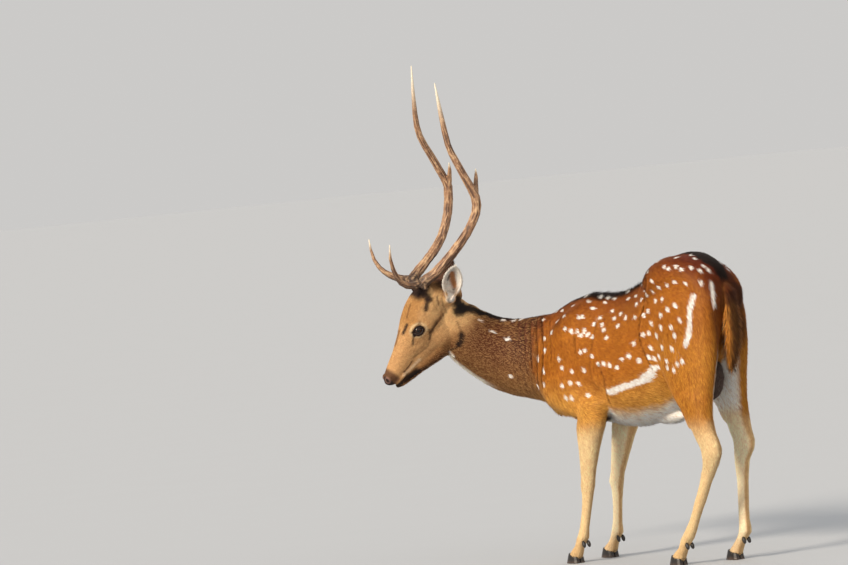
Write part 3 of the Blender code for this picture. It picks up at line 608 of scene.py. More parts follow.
# The matching place on the animal's other side, dropped on the skin from beside it, or from
# behind on the rump
def acrossTrunk(tree, place):
    drawn = place - moved
    if drawn.y > crossing["rumpFrom"]:
        start = Vector((-drawn.x, drawn.y + crossing["behind"], drawn.z))
        way = Vector((0.0, -1.0, 0.0))
    else:
        far = -1.0 if drawn.x > 0 else 1.0
        start = Vector((far * crossing["beside"], drawn.y, drawn.z))
        way = Vector((-far, 0.0, 0.0))
    return tree.ray_cast(start + moved, way, crossing["reach"])[0]


roughTree = BVHTree.FromPolygons(skinPoints.tolist(), readTriangles(skinPiece.data).tolist())
creaseChains = [
    (chain, half, deep, dark)
    for pixels, half, deep, dark in creases.values()
    for chain in chainOnSkin(roughTree, pixels, 3)
]


# Places near a chain of points, and how far off each is
def closeTo(points, chain, reach):
    low, high = np.min(chain, axis=0) - reach, np.max(chain, axis=0) + reach
    close = np.nonzero(np.all((points > low) & (points < high), axis=1))[0]
    return close, toPath(points[close], chain)


# Wrinkles: neck folds, the creases, the grooves of mouth and scent gland, muscle and tendon
def foldHeights(points, shares):
    drawn, head = toDrawn(points), onBothSides(toHead(points))
    torso, neck = shareOf(shares, "torso"), shareOf(shares, "neck")
    height = np.zeros(len(points))
    # upright folds where the neck bends into the shoulder
    bend = drawn[:, :2] @ np.array(folds["bend"])
    band = bell(bend - folds["neckAt"], folds["neckHalf"])
    band *= smoothStep(drawn[:, 2], *folds["neckAbove"])
    waver = lumps(points, folds["neckWaver"][1], 3) * folds["neckWaver"][0]
    wave = np.sin((bend / folds["neckStep"] + waver) * math.pi * 2)
    height += folds["neckDeep"] * band * wave * np.clip(torso + neck, 0, 1)
    rollHigh, rollAt, rollWide = folds["creaseSide"]
    for chain, half, deep, _ in creaseChains:
        close, away = closeTo(points, chain, half * 6)
        height[close] -= deep * bell(away, half)
        height[close] += rollHigh * deep * bell(away - rollAt * half, rollWide * half)
    for key, path in (("mouth", mouthLine), ("gland", glandSlit)):
        deep, half = folds[key]
        height -= deep * bell(toPath(head, path), half)
    # faint muscle and vein relief, and the long tendons of the legs
    height += folds["muscle"][0] * lumps(points, folds["muscle"][1], 5) * torso
    legs = shareOf(shares, *(kind for kind in kindNames if "leg" in kind))
    bag = shareOf(shares, "scrotum")
    for key, share, seed in (("tendon", np.clip(legs, 0, 1), 6), ("scrotum", bag, 8)):
        high, size, stretch = folds[key]
        height += high * lumps(points * np.array(stretch), size, seed) * share
    return height


skinPoints = skinPoints + skinNormals * foldHeights(skinPoints, skinShares)[:, None]
writePoints(skinPiece.data, skinPoints)
skinNormals = readNormals(skinPiece.data)
skinTriangles = readTriangles(skinPiece.data)
skinTree = BVHTree.FromPolygons(skinPoints.tolist(), skinTriangles.tolist())
print("skin formed")


# Product of ramps: each row names a measure, where it starts and is full, and how ragged it is
def within(at, rows):
    share = 1.0
    for measure, start, full, *ragged in rows:
        value = at[measure] + ragged[0] * at["patchy"] if ragged else at[measure]
        share = share * smoothStep(value, start, full)
    return share


# Where the hair of the trunk turns downwards, and by how much
lieTurns = [
    (1.3, [("y", 0.42, 0.60), ("z", 0.86, 0.66)]),  # haunch
    (1.6, [("y", 0.62, 0.70)]),  # rump
    (0.8, [("y", 0.16, 0.0), ("z", 0.80, 0.65)]),  # shoulder
]


# The way the hair lies at each skin point: along the body to the tail, down the legs, up the face
def lieOfHair():
    lies = np.zeros((len(kindNames), 3))
    for row, (name, kind) in enumerate(fleshKinds.items()):
        way = np.array(kind["lie"], float)
        if name == "head" or name.startswith("ear"):
            way = headTurn @ way
        lies[row] = unit(way)
    way = lies[nearest]
    at = dict(zip("xyz", toDrawn(skinPoints).T))
    for turn, rows in lieTurns:
        way[:, 2] -= turn * shareOf(skinShares, "torso") * within(at, rows)
    for _ in range(skin["wayRounds"]):
        way = average(skinWeb, way)
    way -= skinNormals * np.sum(way * skinNormals, axis=1)[:, None]
    return unit(way)


skinLie = lieOfHair()
coatNormals = skinNormals.copy()
for _ in range(skin["normalRounds"]):
    coatNormals = unit(average(skinWeb, coatNormals))


# Markings: every colour of skin and coat is one of these

coatHex = {
    "flank": "#ad661a",
    "back": "#8d4912",
    "lowFlank": "#d99a45",
    "belly": "#fdf6e8",
    # dark stripe of spine and tail, also painted shade on the far side of the rump
    "dorsalAndShade": "#20120c",
    "croup": "#6b2a12",
    # darker hair of the rump, with painted shade between the tail and the thighs
    "rump": "#6a3212",
    "spot": "#fffaf0",
    "neck": "#5a311a",
    "neckDark": "#422617",
    "neckLow": "#9a6e40",
    # black of the nape, also laid as painted shade on the lower jaw and in the jaw's fold
    "nape": "#1b110c",
    "fleck": "#c69660",
    "throat": "#f8eedc",
    "thigh": "#bf7b29",
    "legOuter": "#f2d09c",
    "legInner": "#ffe7c0",
    # painted shade down the rear edge of the legs
    "legRearShade": "#b07a44",
    "foot": "#d8b07c",
    # painted shade in the hide's creases
    "creaseShade": "#4a1f0e",
    # painted shade in the folds of the neck
    "foldShade": "#3a170d",
    "face": "#cf9f6a",
    "cheek": "#e8bb82",
    "forehead": "#b5844c",
    "bridge": "#c99a67",
    "muzzleDark": "#5a3a28",
    "nose": "#241915",
    "nostrilRim": "#b08474",
    "lipPale": "#f0cda4",
    # brown lines of the face, also painted shade along the bridge, temple and jaw
    "faceLine": "#593720",
    # dark marks of the face, also painted shade under the jaw and in the ear's folds
    "faceDark": "#2a1913",
    "eyeRing": "#ecd0a2",
    "eyeDark": "#231511",
    "earBack": "#5f4030",
    "earRim": "#fbf2e6",
    "earInside": "#cf8850",
    "tailTop": "#c07a2e",
    "tailUnder": "#f6efe2",
    "scrotum": "#57463e",
}
coatColours = {name: toLinear(code) for name, code in coatHex.items()}
# The trunk's top and underside along y, from the solids' own stations
trunkTop = [
    (-0.165, 0.765), (-0.110, 0.798), (-0.040, 0.832), (0.040, 0.856), (0.120, 0.862),
    (0.200, 0.859), (0.280, 0.868), (0.350, 0.890), (0.400, 0.920), (0.450, 0.950), (0.510, 0.973),
    (0.570, 0.983), (0.628, 0.974), (0.676, 0.946), (0.706, 0.900),
]
trunkUnder = [
    (-0.165, 0.560), (-0.110, 0.508), (-0.040, 0.474), (0.040, 0.459), (0.120, 0.456),
    (0.200, 0.444), (0.280, 0.438), (0.350, 0.448), (0.400, 0.460), (0.450, 0.480), (0.510, 0.500),
]


# How high a place is on the trunk: 0 at the belly line, 1 at the spine
def levelOn(drawn):
    top = np.interp(drawn[:, 1], *np.array(trunkTop).T)
    under = np.interp(drawn[:, 1], *np.array(trunkUnder).T)
    return (drawn[:, 2] - under) / (top - under)


# Spots seen on the near side, read off an enlarged crop of the photograph
spotCrop = {"left": 560.0, "top": 240.0, "scale": 7.467}
seenSpots = {
    "shoulder": [
        (-67, 687), (75, 680), (172, 680), (-15, 881), (67, 1060), (142, 836), (231, 866),
        (320, 919), (30, 658), (100, 455), (185, 432), (205, 458), (130, 575), (157, 568),
        (72, 672), (118, 680), (142, 832), (5, 945), (80, 972), (68, 1060), (130, 1065), (8, 1080),
        (35, 1170), (78, 1172),
    ],
    "flank": [
        (290, 430), (335, 375), (465, 362), (350, 435), (328, 465), (398, 440), (235, 508),
        (172, 672), (148, 708), (200, 700), (243, 625), (290, 578), (385, 530), (308, 632),
        (318, 670), (397, 585), (448, 548), (484, 580), (553, 575), (502, 440), (497, 395),
        (562, 420), (568, 478), (603, 445), (425, 640), (235, 722), (340, 725),
    ],
    "lowFlank": [
        (178, 822), (230, 865), (543, 768), (450, 885), (505, 865), (578, 898), (275, 922),
        (315, 915), (362, 932), (418, 950), (172, 970), (200, 1155),
    ],
    "croup": [
        (768, 198), (800, 212), (855, 195), (895, 215), (968, 198), (1030, 215), (1090, 210),
        (962, 115), (990, 135), (1055, 185), (675, 302), (843, 310), (925, 315), (1040, 300),
        (787, 335), (727, 352), (682, 380), (630, 375),
    ],
    "thigh": [
        (707, 452), (755, 438), (850, 485), (795, 512), (745, 555), (650, 528), (620, 560),
        (675, 620), (745, 642), (822, 640), (885, 585), (655, 690), (715, 705), (848, 700),
        (612, 705), (668, 800), (755, 790), (825, 800), (735, 860), (790, 890), (655, 875),
        (695, 880), (868, 910), (905, 890), (730, 940), (795, 935), (845, 960), (690, 960),
    ],
    "neck": [
        (-605, 597), (-511, 680), (-403, 739), (-441, 597), (-366, 605), (-306, 597), (-373, 1016),
    ],
}
# Lines of the face, as photograph pixels: half width in metres, colour and strength; some are
# painted shade
faceLines = {
    "browPatch": ([(406.8, 325), (405, 329), (402.8, 333.5)], 0.0052, "faceDark", 0.92),
    "foreheadRidge": ([(410.5, 304), (408.2, 311), (406.6, 318)], 0.0026, "faceLine", 0.55),
    # painted shade along the bridge's shaded edge
    "bridgeShadeEdge": ([(399.5, 331), (397.5, 338), (395.5, 346)], 0.0036, "faceLine", 0.60),
    "crownWedgeTop": ([(424.0, 295), (428.5, 299)], 0.0125, "faceDark", 0.95),
    "crownWedgeTip": ([(427.0, 300), (426.2, 305), (425.6, 310)], 0.0070, "faceDark", 0.92),
    # dark hair behind the eye, with painted shadow of the cheekbone's ridge
    "eyeBack": ([(428.6, 330), (430, 335), (429.2, 339.5)], 0.0040, "faceDark", 0.70),
    "temple": ([(430.7, 332), (433.6, 326.5), (437, 322), (440, 318.5)], 0.0080, "faceLine", 0.66),
    "templeCore": ([(430.8, 332), (434, 327), (436.5, 323.5)], 0.0052, "faceDark", 0.62),
    "cheekLine": ([(430, 341), (427, 347), (420, 353), (414, 357)], 0.0026, "faceLine", 0.42),
    "earLineA": ([(436.5, 297), (437.6, 304), (443, 316)], 0.0026, "faceLine", 0.85),
    "earLineB": ([(441, 299), (442.6, 306), (446, 312.5)], 0.0022, "faceLine", 0.65),
    "earLineC": ([(433.5, 299), (433.5, 305), (436.5, 311)], 0.0022, "forehead", 0.60),
    # painted shadow in the fold at the angle of the jaw
    "jawFoldUp": ([(456.5, 322), (459, 328), (461.3, 334)], 0.0030, "faceLine", 0.70),
    "jawFoldShadow": ([(460.8, 335), (460.8, 340), (458.4, 344)], 0.0100, "nape", 0.92),
    "jawFoldLowShadow": ([(458.8, 345), (454, 348), (449.5, 349.5)], 0.0042, "nape", 0.72),
    "jawTip": ([(449, 352), (452.5, 355.5)], 0.0055, "throat", 0.85),
    # painted shade under the jaw
    "underJawShade": ([(446, 353.5), (433, 362.5), (418, 371.5), (410, 377)], 0.0052, "faceDark", 0.85),
    "upperLip": ([(404, 375), (409, 370.6), (414, 365), (419, 360)], 0.0052, "lipPale", 0.85),
    "mouthCorner": ([(411.8, 361.5), (408.3, 367), (404, 372.2)], 0.0026, "faceLine", 0.85),
    # painted shade over the lower jaw
    "chinShade": (
        [(416, 371.5), (411, 375.5), (405, 380), (400, 384), (398, 386.3)], 0.0108, "nape", 0.95,
    ),
    "lowerLip": ([(399, 387.2), (403, 386.2), (408, 383.8)], 0.0020, "lipPale", 0.50),
    # black hair of the nape, darkened further as painted shadow of ear and antler
    "napeA": ([(457, 301), (461, 308)], 0.0230, "nape", 0.97),
    "napeB": ([(457.0, 311.5), (464, 308), (478, 311.5)], 0.0175, "nape", 0.97),
    "napeTop": ([(462, 299.5), (470, 303.5), (481, 308)], 0.0130, "nape", 0.97),
    "napeC": ([(478, 311.5), (497, 317), (520, 318)], 0.0090, "nape", 0.95),
}
# The same for the near ear: its white wool, pink hollow, and painted shade deep in the hollow and
# in its folds
earLines = {
    "wool": ([(445.5, 285), (449, 291), (451, 299)], 0.0150, "earRim", 0.97),
    "hollow": ([(451.5, 274), (452.4, 280), (454.2, 286)], 0.0105, "earInside", 0.95),
    # painted shade deep in the hollow, at the notch and in the folds
    "deep": ([(448.2, 276.5), (447.4, 280.5)], 0.0048, "faceDark", 0.80),
    "notch": ([(442.6, 288.5), (442.8, 291.5)], 0.0034, "faceDark", 0.92),
    "fold": ([(449.5, 292), (453, 290), (456, 288.6)], 0.0016, "faceDark", 0.70),
    "lobeFold": ([(447.5, 299.5), (449.5, 303)], 0.0026, "faceDark", 0.70),
}
# White lines, as photograph pixels, with half widths in metres: the low flank's, the thigh's,
# and the rump's edge, which is white on the near side alone
seenLines = {
    "lowFlank": (
        [(608, 391.5), (622, 386.5), (634, 382.5), (645, 378.5), (651, 373), (650, 367)], 0.0105,
    ),
    "lowFlankTop": ([(640, 377), (647, 371), (652, 367), (657, 366)], 0.0070),
    "thigh": ([(692, 295), (688.5, 309), (688.5, 322), (687.5, 334), (683.5, 346)], 0.0090),
    "rumpEdge": ([(709, 279), (711.5, 291), (712.5, 305)], 0.0060),
}


spotLook = {
    "radius": {"croup": 0.0057, "neck": 0.0056, "shoulder": 0.0062, "flank": 0.0069},
    "fillRadius": 0.0066,  # those added on places that the photograph doesn't show
    "fillApart": 0.040,
    "fillTries": 6000,
    "fillLevel": (0.22, 0.99),
    "fillAlong": (-0.12, 0.63),
    "bareHaunch": (0.5, 0.62),  # none behind the first and below the second
    "shake": 0.005,
    "stretch": (1.25, 1.0),  # how much longer than wide: low on the trunk, and more by the spine
    "spineShrink": 0.34,
    "spineFrom": (0.80, 0.96),
    "spineUntil": (0.52, 0.42),
    "ragged": (0.30, 0.004),
    "edge": (1.18, 0.96),
    "lineEdge": (1.2, 0.75),
    "lineReach": 0.03,
}


# Spots seen in the photograph, on the skin
def seenOnSkin():
    found = []
    for group, places in seenSpots.items():
        size = spotLook["radius"].get(group, spotLook["radius"]["flank"])
        for across, down in places:
            pixel = (
                spotCrop["left"] + across / spotCrop["scale"],
                spotCrop["top"] + down / spotCrop["scale"],
            )
            hit = photoPoint(skinTree, *pixel)
            if hit is not None:
                found.append((hit, size))
    return found


# Where more spots may stand: on the trunk, turned away from the photograph
def bareSkin():
    drawn, side = toDrawn(skinPoints), skinNormals[:, 0]
    level = levelOn(drawn)
    low, high = spotLook["fillLevel"]
    first, last = spotLook["fillAlong"]
    able = (shareOf(skinShares, "torso") > 0.8) & (level > low) & (level < high)
    able &= (drawn[:, 1] > first) & (drawn[:, 1] < last) & (np.abs(side) > 0.25)
    able &= ~((drawn[:, 1] > spotLook["bareHaunch"][0]) & (drawn[:, 2] < spotLook["bareHaunch"][1]))
    able &= drawn[:, 0] * side > 0
    able &= ~((drawn[:, 0] > 0) & (skinNormals @ np.array(viewBack) > 0.3))
    return skinPoints[able]


# Spots: place, radius and how much longer than wide; those seen, their mirror images, and more
# on bare places
def collectSpots():
    found = seenOnSkin()
    draws = np.random.default_rng(5)
    mirrored = []
    for place, size in found:
        shaken = place + Vector(draws.normal(0.0, spotLook["shake"], 3))
        hit = acrossTrunk(skinTree, shaken)
        if hit is not None and (hit - moved).x < 0.02:
            mirrored.append((hit, size))
    found += mirrored
    pool = bareSkin()
    centres = np.array([list(p) for p, _ in found])
    for candidate in pool[draws.permutation(len(pool))[: spotLook["fillTries"]]]:
        if np.min(np.sum((centres - candidate) ** 2, axis=1)) > spotLook["fillApart"] ** 2:
            centres = np.vstack([centres, candidate])
            found.append((Vector(candidate), spotLook["fillRadius"]))
    drawn = toDrawn(centres)
    narrow = smoothStep(levelOn(drawn), *spotLook["spineFrom"])
    narrow *= smoothStep(drawn[:, 1], *spotLook["spineUntil"])
    narrow *= 0.85 + 0.3 * draws.random(len(found))
    low, more = spotLook["stretch"]
    return [
        (place, size * (1 - spotLook["spineShrink"] * thin), low + more * thin)
        for (place, size), thin in zip(found, narrow)
    ]


spots = collectSpots()
print("spots placed,", len(spots))

whiteLines = [
    (chain, half)
    for name, (pixels, half) in seenLines.items()
    for chain in chainOnSkin(skinTree, pixels, 4)[: 1 if name == "rumpEdge" else 2]
]


# Lines of face or ear as chains in the head's frame
def collectFaceLines(lines):
    found = []
    for pixels, half, tint, strength in lines.values():
        hits = [photoPoint(skinTree, *pixel) for pixel in pixels]
        chain = [np.array(hit) for hit in hits if hit is not None]
        if len(chain) > 1:
            found.append((toHead(np.array(chain)), half, tint, strength))
    return found


# The face's lines are laid over both cheeks, the ear's stay on the near ear
foundFaceLines = [(onBothSides(chain), *rest) for chain, *rest in collectFaceLines(faceLines)]
foundEarLines = collectFaceLines(earLines)
jawCorner = (450.0, 350.0)  # photograph pixel where the white throat begins
throatStart = np.array(photoPoint(skinTree, *jawCorner))
neckDown = unit(np.array([0.333, -0.302, -0.893]))  # towards the underside of the stretched neck
nostrilAt = (0.0185, -0.3630, -0.0005)
tearCorner = [(0.0465, -0.1900, 0.0260), (0.0445, -0.1960, 0.0235)]  # the eye's dark front corner
lidLoop = np.array([lidPoint(1, 2 * math.pi * k / 40) for k in range(41)])
eyeOpening = (0.0155, 0.0100)  # half length and half height


# Distance outside the lids' edge; the opening itself counts as none
def lidDistance(folded):
    reach = toPath(folded, lidLoop)
    centre, out, longWay, highWay = (np.array(v) for v in eyeFrame(1))
    offset = folded - centre
    halfLong, halfHigh = eyeOpening
    inside = (offset @ longWay / halfLong) ** 2 + (offset @ highWay / halfHigh) ** 2 < 1
    return np.where(inside & (offset @ out > 0), 0.0, reach)


def mixIn(colours, name, share):
    share = np.clip(share, 0.0, 1.0)[:, None]
    return colours * (1 - share) + coatColours[name] * share


# The zones' own measures: what a user would change where no plain ramp will do
measureLook = {
    "patchSizes": (0.035, 0.012),
    "forward": [("bend", -0.085, -0.175, -0.030)],  # the neck, from the shoulder's bend forward
    "rump": [("y", 0.680, 0.705, 0.02), ("ny", 0.35, 0.75), ("z", 0.50, 0.60)],
    "beforeRump": 0.62,
    "napeward": (0.35, [("belowNeck", 0.35, -0.5, -0.3)]),  # the least of it, and the ramp to all
    # painted shade in bands along the neck's folds: centre, half width and step
    "foldShadeAt": -0.170,
    "foldShadeHalf": 0.060,
    "foldShadeStep": 0.021,
    "underBelly": [("nz", -0.52, -0.80, -0.08), ("level", 0.26, 0.10), ("y", 0.06, 0.16)],
    "bellyLine": [("level", 0.10, 0.04), ("y", 0.10, 0.16), ("absX", 0.072, 0.052)],
    # the dark line down the spine: its half width along y
    "spineY": (-0.15, 0.0, 0.16, 0.34, 0.48, 0.60, 0.66, 0.70),
    "spineHalf": (0.014, 0.012, 0.022, 0.018, 0.018, 0.030, 0.030, 0.018),
    "spineRagged": 0.35,
    # rings and grooves of the face: distance and half width
    "nostrilRing": (0.011, 0.0030),
    "lidRing": (0.0118, 0.0034),
    "mouthHalf": 0.0036,
    "glandHalf": 0.0042,
}


# What the zones go by: places in the drawn frame and on the folded head, ways the skin faces,
# shares of each kind of flesh, and distances
def measure(points, normals, shares):
    drawn, folded = toDrawn(points), onBothSides(toHead(points))
    at = dict(zip(("x", "y", "z"), drawn.T))
    at["hy"], at["hz"] = folded[:, 1], folded[:, 2]
    at["ny"], at["nz"] = normals[:, 1], normals[:, 2]
    broad, small = measureLook["patchSizes"]
    at["patchy"] = lumps(points, broad, 1) * 0.5 + lumps(points, small, 2) * 0.5
    at["absX"] = np.abs(at["x"])
    at["inward"] = -normals[:, 0] * np.sign(at["x"])
    at["upward"] = (normals @ headTurn)[:, 2]
    at["absUpward"] = np.abs(at["upward"])
    at["level"] = levelOn(drawn)
    at["bend"] = drawn[:, :2] @ np.array(folds["bend"])
    at["belowNeck"] = normals @ neckDown
    spine = np.interp(at["y"], measureLook["spineY"], measureLook["spineHalf"])
    at["inSpine"] = spine * (1 + measureLook["spineRagged"] * at["patchy"]) - at["absX"]
    for kind in ("torso", "neck", "tail", "scrotum"):
        at[kind] = shareOf(shares, kind)
    at["face"] = shareOf(shares, "head")
    at["lowerLegs"] = shareOf(shares, "lower_leg_fore", "lower_leg_hind")
    upper = shareOf(shares, "upper_leg_fore", "upper_leg_hind")
    at["legs"] = np.clip(upper + at["lowerLegs"], 0, 1)
    at["jawSkin"] = at["face"] + at["neck"] * 0.6
    ears = shareOf(shares, "ear_left", "ear_right")
    at["forward"] = within(at, measureLook["forward"]) * (1 - at["face"]) * (1 - ears)
    at["rump"] = within(at, measureLook["rump"])
    at["beforeRump"] = at["y"] < measureLook["beforeRump"]
    least, rows = measureLook["napeward"]
    at["napeward"] = least + (1 - least) * within(at, rows)
    # painted shade in bands that follow the neck's folds
    wave = np.sin((at["bend"] / measureLook["foldShadeStep"] + 0.5 * at["patchy"]) * 2 * math.pi)
    band = bell(at["bend"] - measureLook["foldShadeAt"], measureLook["foldShadeHalf"])
    at["foldShadeBands"] = band * (0.5 + 0.5 * wave) * np.clip(at["neck"] + 0.5 * at["torso"], 0, 1)
    under, line = (within(at, measureLook[key]) for key in ("underBelly", "bellyLine"))
    at["belly"] = at["torso"] * np.maximum(under, line)
    at["fromJaw"] = np.linalg.norm(points - throatStart, axis=1)
    at["fromNostril"] = np.linalg.norm(folded - np.array(nostrilAt), axis=1)
    at["fromLids"] = lidDistance(folded)
    at["fromTear"] = toPath(folded, tearCorner)
    for key, away in (("nostrilRing", "fromNostril"), ("lidRing", "fromLids")):
        place, half = measureLook[key]
        at[key] = bell(at[away] - place, half)
    at["mouthGroove"] = bell(toPath(folded, mouthLine), measureLook["mouthHalf"])
    at["glandGroove"] = bell(toPath(folded, glandSlit), measureLook["glandHalf"])
    return at


# Zones of colour, laid one over another: tint, strength, what they lie on, and the ramps that bound
# them. First the body, then the white marks and the creases' painted shade, then the face.
bodyZones = [
    ("back", 1.0, "", [("level", 0.70, 1.0, 0.06)]),
    ("lowFlank", 1.0, "beforeRump", [("level", 0.42, 0.08, -0.05)]),
    ("thigh", 1.0, "", [("z", 0.80, 0.64), ("y", 0.42, 0.52)]),
    ("croup", 1.0, "", [("y", 0.46, 0.60), ("level", 0.86, 1.0, 0.03)]),
    # dark beside the tail: the rump's darker hair and painted shade between tail and thigh
    ("rump", 0.75, "rump", [("absX", 0.085, 0.055)]),
    ("croup", 0.7, "", [("y", 0.56, 0.66), ("z", 0.90, 0.95)]),
    # painted shade over the far side of the rump, which faces away from the key light
    ("dorsalAndShade", 0.7, "rump", [("x", 0.030, -0.025), ("z", 0.66, 0.76, 0.02)]),
    ("neck", 1.0, "forward", []),
    ("neckDark", 1.0, "forward napeward", [("hy", 0.03, 0.12, 0.03)]),
    ("neckLow", 0.75, "forward", [("z", 0.64, 0.52)]),
    ("neckLow", 0.35, "forward", [("hy", 0.06, -0.04), ("belowNeck", -0.2, 0.6)]),
    ("nape", 0.9, "forward", [("belowNeck", -0.62, -0.95)]),
    # painted shade in the neck's folds
    ("foldShade", 0.55, "foldShadeBands", []),
    ("belly", 1.0, "belly", []),
    ("lowFlank", 0.8, "torso", [("nz", -0.55, -0.9), ("y", 0.16, 0.06)]),
    ("belly", 1.0, "torso", [("inward", 0.46, 0.88), ("z", 0.72, 0.64), ("y", 0.35, 0.45)]),
    ("legOuter", 1.0, "legs", [("z", 0.52, 0.38)]),
    # painted shade on the legs' rear edges
    ("legRearShade", 0.55, "legs", [("ny", 0.45, 0.95), ("inward", -0.3, 0.2)]),
    ("legInner", 1.0, "legs", [("inward", 0.46, 0.88)]),
    ("foot", 0.6, "lowerLegs", [("z", 0.10, 0.04)]),
    (
        "dorsalAndShade", 1.0, "torso",
        [
            ("inSpine", -0.007, 0.007), ("nz", 0.15, 0.50), ("level", 0.80, 0.93),
            ("y", -0.16, -0.04),
        ],
    ),
    ("tailTop", 1.0, "tail", []),
    ("croup", 1.0, "tail", [("z", 0.80, 0.88)]),
    ("dorsalAndShade", 0.80, "tail", [("ny", 0.55, 0.92, 0.15)]),
    ("tailUnder", 1.0, "tail", [("ny", -0.50, -0.85)]),
    ("scrotum", 1.0, "scrotum", []),
]
faceZones = [
    ("throat", 1.0, "neck", [("belowNeck", 0.74, 0.92), ("fromJaw", 0.21, 0.13, 0.01)]),
    ("face", 1.0, "face", []),
    ("cheek", 1.0, "face", [("hy", -0.15, -0.06), ("absUpward", 0.5, 0.1)]),
    ("forehead", 1.0, "face", [("upward", 0.25, 0.7), ("hy", -0.225, -0.16), ("hz", 0.105, 0.085)]),
    ("bridge", 1.0, "face", [("upward", 0.1, 0.6), ("hy", -0.19, -0.25)]),
    ("faceDark", 1.0, "face", [("hz", 0.066, 0.086), ("hy", -0.110, -0.085)]),
    ("neckDark", 1.0, "face", [("hy", -0.06, 0.0), ("upward", 0.0, 0.5)]),
    ("muzzleDark", 0.9, "face", [("hy", -0.322, -0.336), ("hz", -0.036, -0.028)]),
    ("nose", 1.0, "face", [("hy", -0.350, -0.356), ("hz", -0.029, -0.024)]),
    ("nostrilRim", 0.5, "face nostrilRing", []),
    ("faceDark", 1.0, "face", [("fromNostril", 0.0075, 0.0055)]),
    (
        "throat", 1.0, "jawSkin",
        [("upward", -0.2, -0.6), ("hy", -0.15, -0.11), ("hz", -0.08, -0.10)],
    ),
    ("neckLow", 0.6, "face", [("hy", 0.0, 0.028, 0.012)]),
    ("neck", 0.8, "face", [("hy", 0.0, 0.028, 0.012), ("hy", 0.012, 0.050, 0.012)]),
]
# The eye and mouth lie over the face's lines
grooveZones = [
    ("faceDark", 0.9, "face mouthGroove", []),
    ("eyeRing", 0.80, "face lidRing", []),
    ("eyeDark", 1.0, "face", [("fromLids", 0.0088, 0.0054)]),
    ("eyeDark", 1.0, "face", [("fromTear", 0.0082, 0.0046)]),
    ("eyeDark", 0.95, "face glandGroove", []),
]


def layZones(colours, at, zones):
    for tint, strength, carriers, rows in zones:
        share = np.full(len(colours), strength)
        for carrier in carriers.split():
            share = share * at[carrier]
        colours = mixIn(colours, tint, share * within(at, rows))
    return colours


# How white each place is from the spots and the white lines
def whiteMarks(points, normals, lies):
    white = np.zeros(len(points))
    ragged = 1 + spotLook["ragged"][0] * lumps(points, spotLook["ragged"][1], 7)
    cross = np.cross(normals, lies)
    for place, radius, stretch in spots:
        offset = points - np.array(place)
        close = np.nonzero(np.abs(offset).max(axis=1) < radius * stretch * 1.6)[0]
        if not len(close):
            continue
        along = np.sum(offset[close] * lies[close], axis=1) / (radius * stretch)
        aside = np.sum(offset[close] * cross[close], axis=1) / radius
        away = np.sum(offset[close] * normals[close], axis=1) / (radius * 2.0)
        reach = np.sqrt(along**2 + aside**2 + away**2) * ragged[close]
        white[close] = np.maximum(white[close], smoothStep(reach, *spotLook["edge"]))
    for chain, width in whiteLines:
        close, away = closeTo(points, chain, spotLook["lineReach"])
        if len(close):
            reach = away / width * ragged[close]
            white[close] = np.maximum(white[close], smoothStep(reach, *spotLook["lineEdge"]))
    return white


# For lines and ears: how ragged an edge is and over what size, and where it fades
lineLook = {"face": (0.25, 0.006, 9), "ear": (0.2, 0.004, 10)}
lineFade = {"face": (1.55, 0.45), "ear": (1.5, 0.5)}
earForms = {
    "left": {"mouth": (0.95, -0.15, 0.27)},
    "right": {
        "mouth": (-0.90, -0.10, -0.30),
        "hollow": [(-0.050, -0.030, 0.002), (-0.075, 0.040, 0.020)],
    },
}
earLook = {"cup": (0.05, 0.45), "hollow": (0.026, 0.014), "hollowShare": 0.9}
mottle = {"coat": 0.10, "face": 0.13, "faceSize": 0.0055}
# how far the painted shade of a crease reaches and how wide it spreads
creaseShadeLook = {"reach": 0.02, "wide": 1.15}


def layLines(colours, points, places, lines, kind, where):
    ragged, size, seed = lineLook[kind]
    for chain, width, tint, strength in lines:
        reach = toPath(places, chain) / width * (1 + ragged * lumps(points, size, seed))
        colours = mixIn(colours, tint, where * smoothStep(reach, *lineFade[kind]) * strength)
    return colours


# The way an ear's cup opens, in the model's frame
def earMouth(name):
    return headTurn @ unit(np.array(earForms[name]["mouth"]))


# Ears: brown behind, pale rim, pink-white inside; the near one's folds are drawn as seen
def layEars(colours, points, normals, head, shares, at):
    for name in sides:
        share = shareOf(shares, "ear_" + name)
        inside = smoothStep(normals @ earMouth(name), *earLook["cup"])
        colours = mixIn(colours, "earBack", share * (1 - inside))
        colours = mixIn(colours, "earRim", share * inside)
        if "hollow" in earForms[name]:
            hollow = smoothStep(toPath(head, earForms[name]["hollow"]), *earLook["hollow"])
            colours = mixIn(colours, "earInside", share * inside * hollow * earLook["hollowShare"])
        else:
            where = np.clip(share * (inside + 0.3) + at["face"] + at["neck"], 0, 1)
            colours = layLines(colours, points, head, foundEarLines, "ear", where)
    return colours


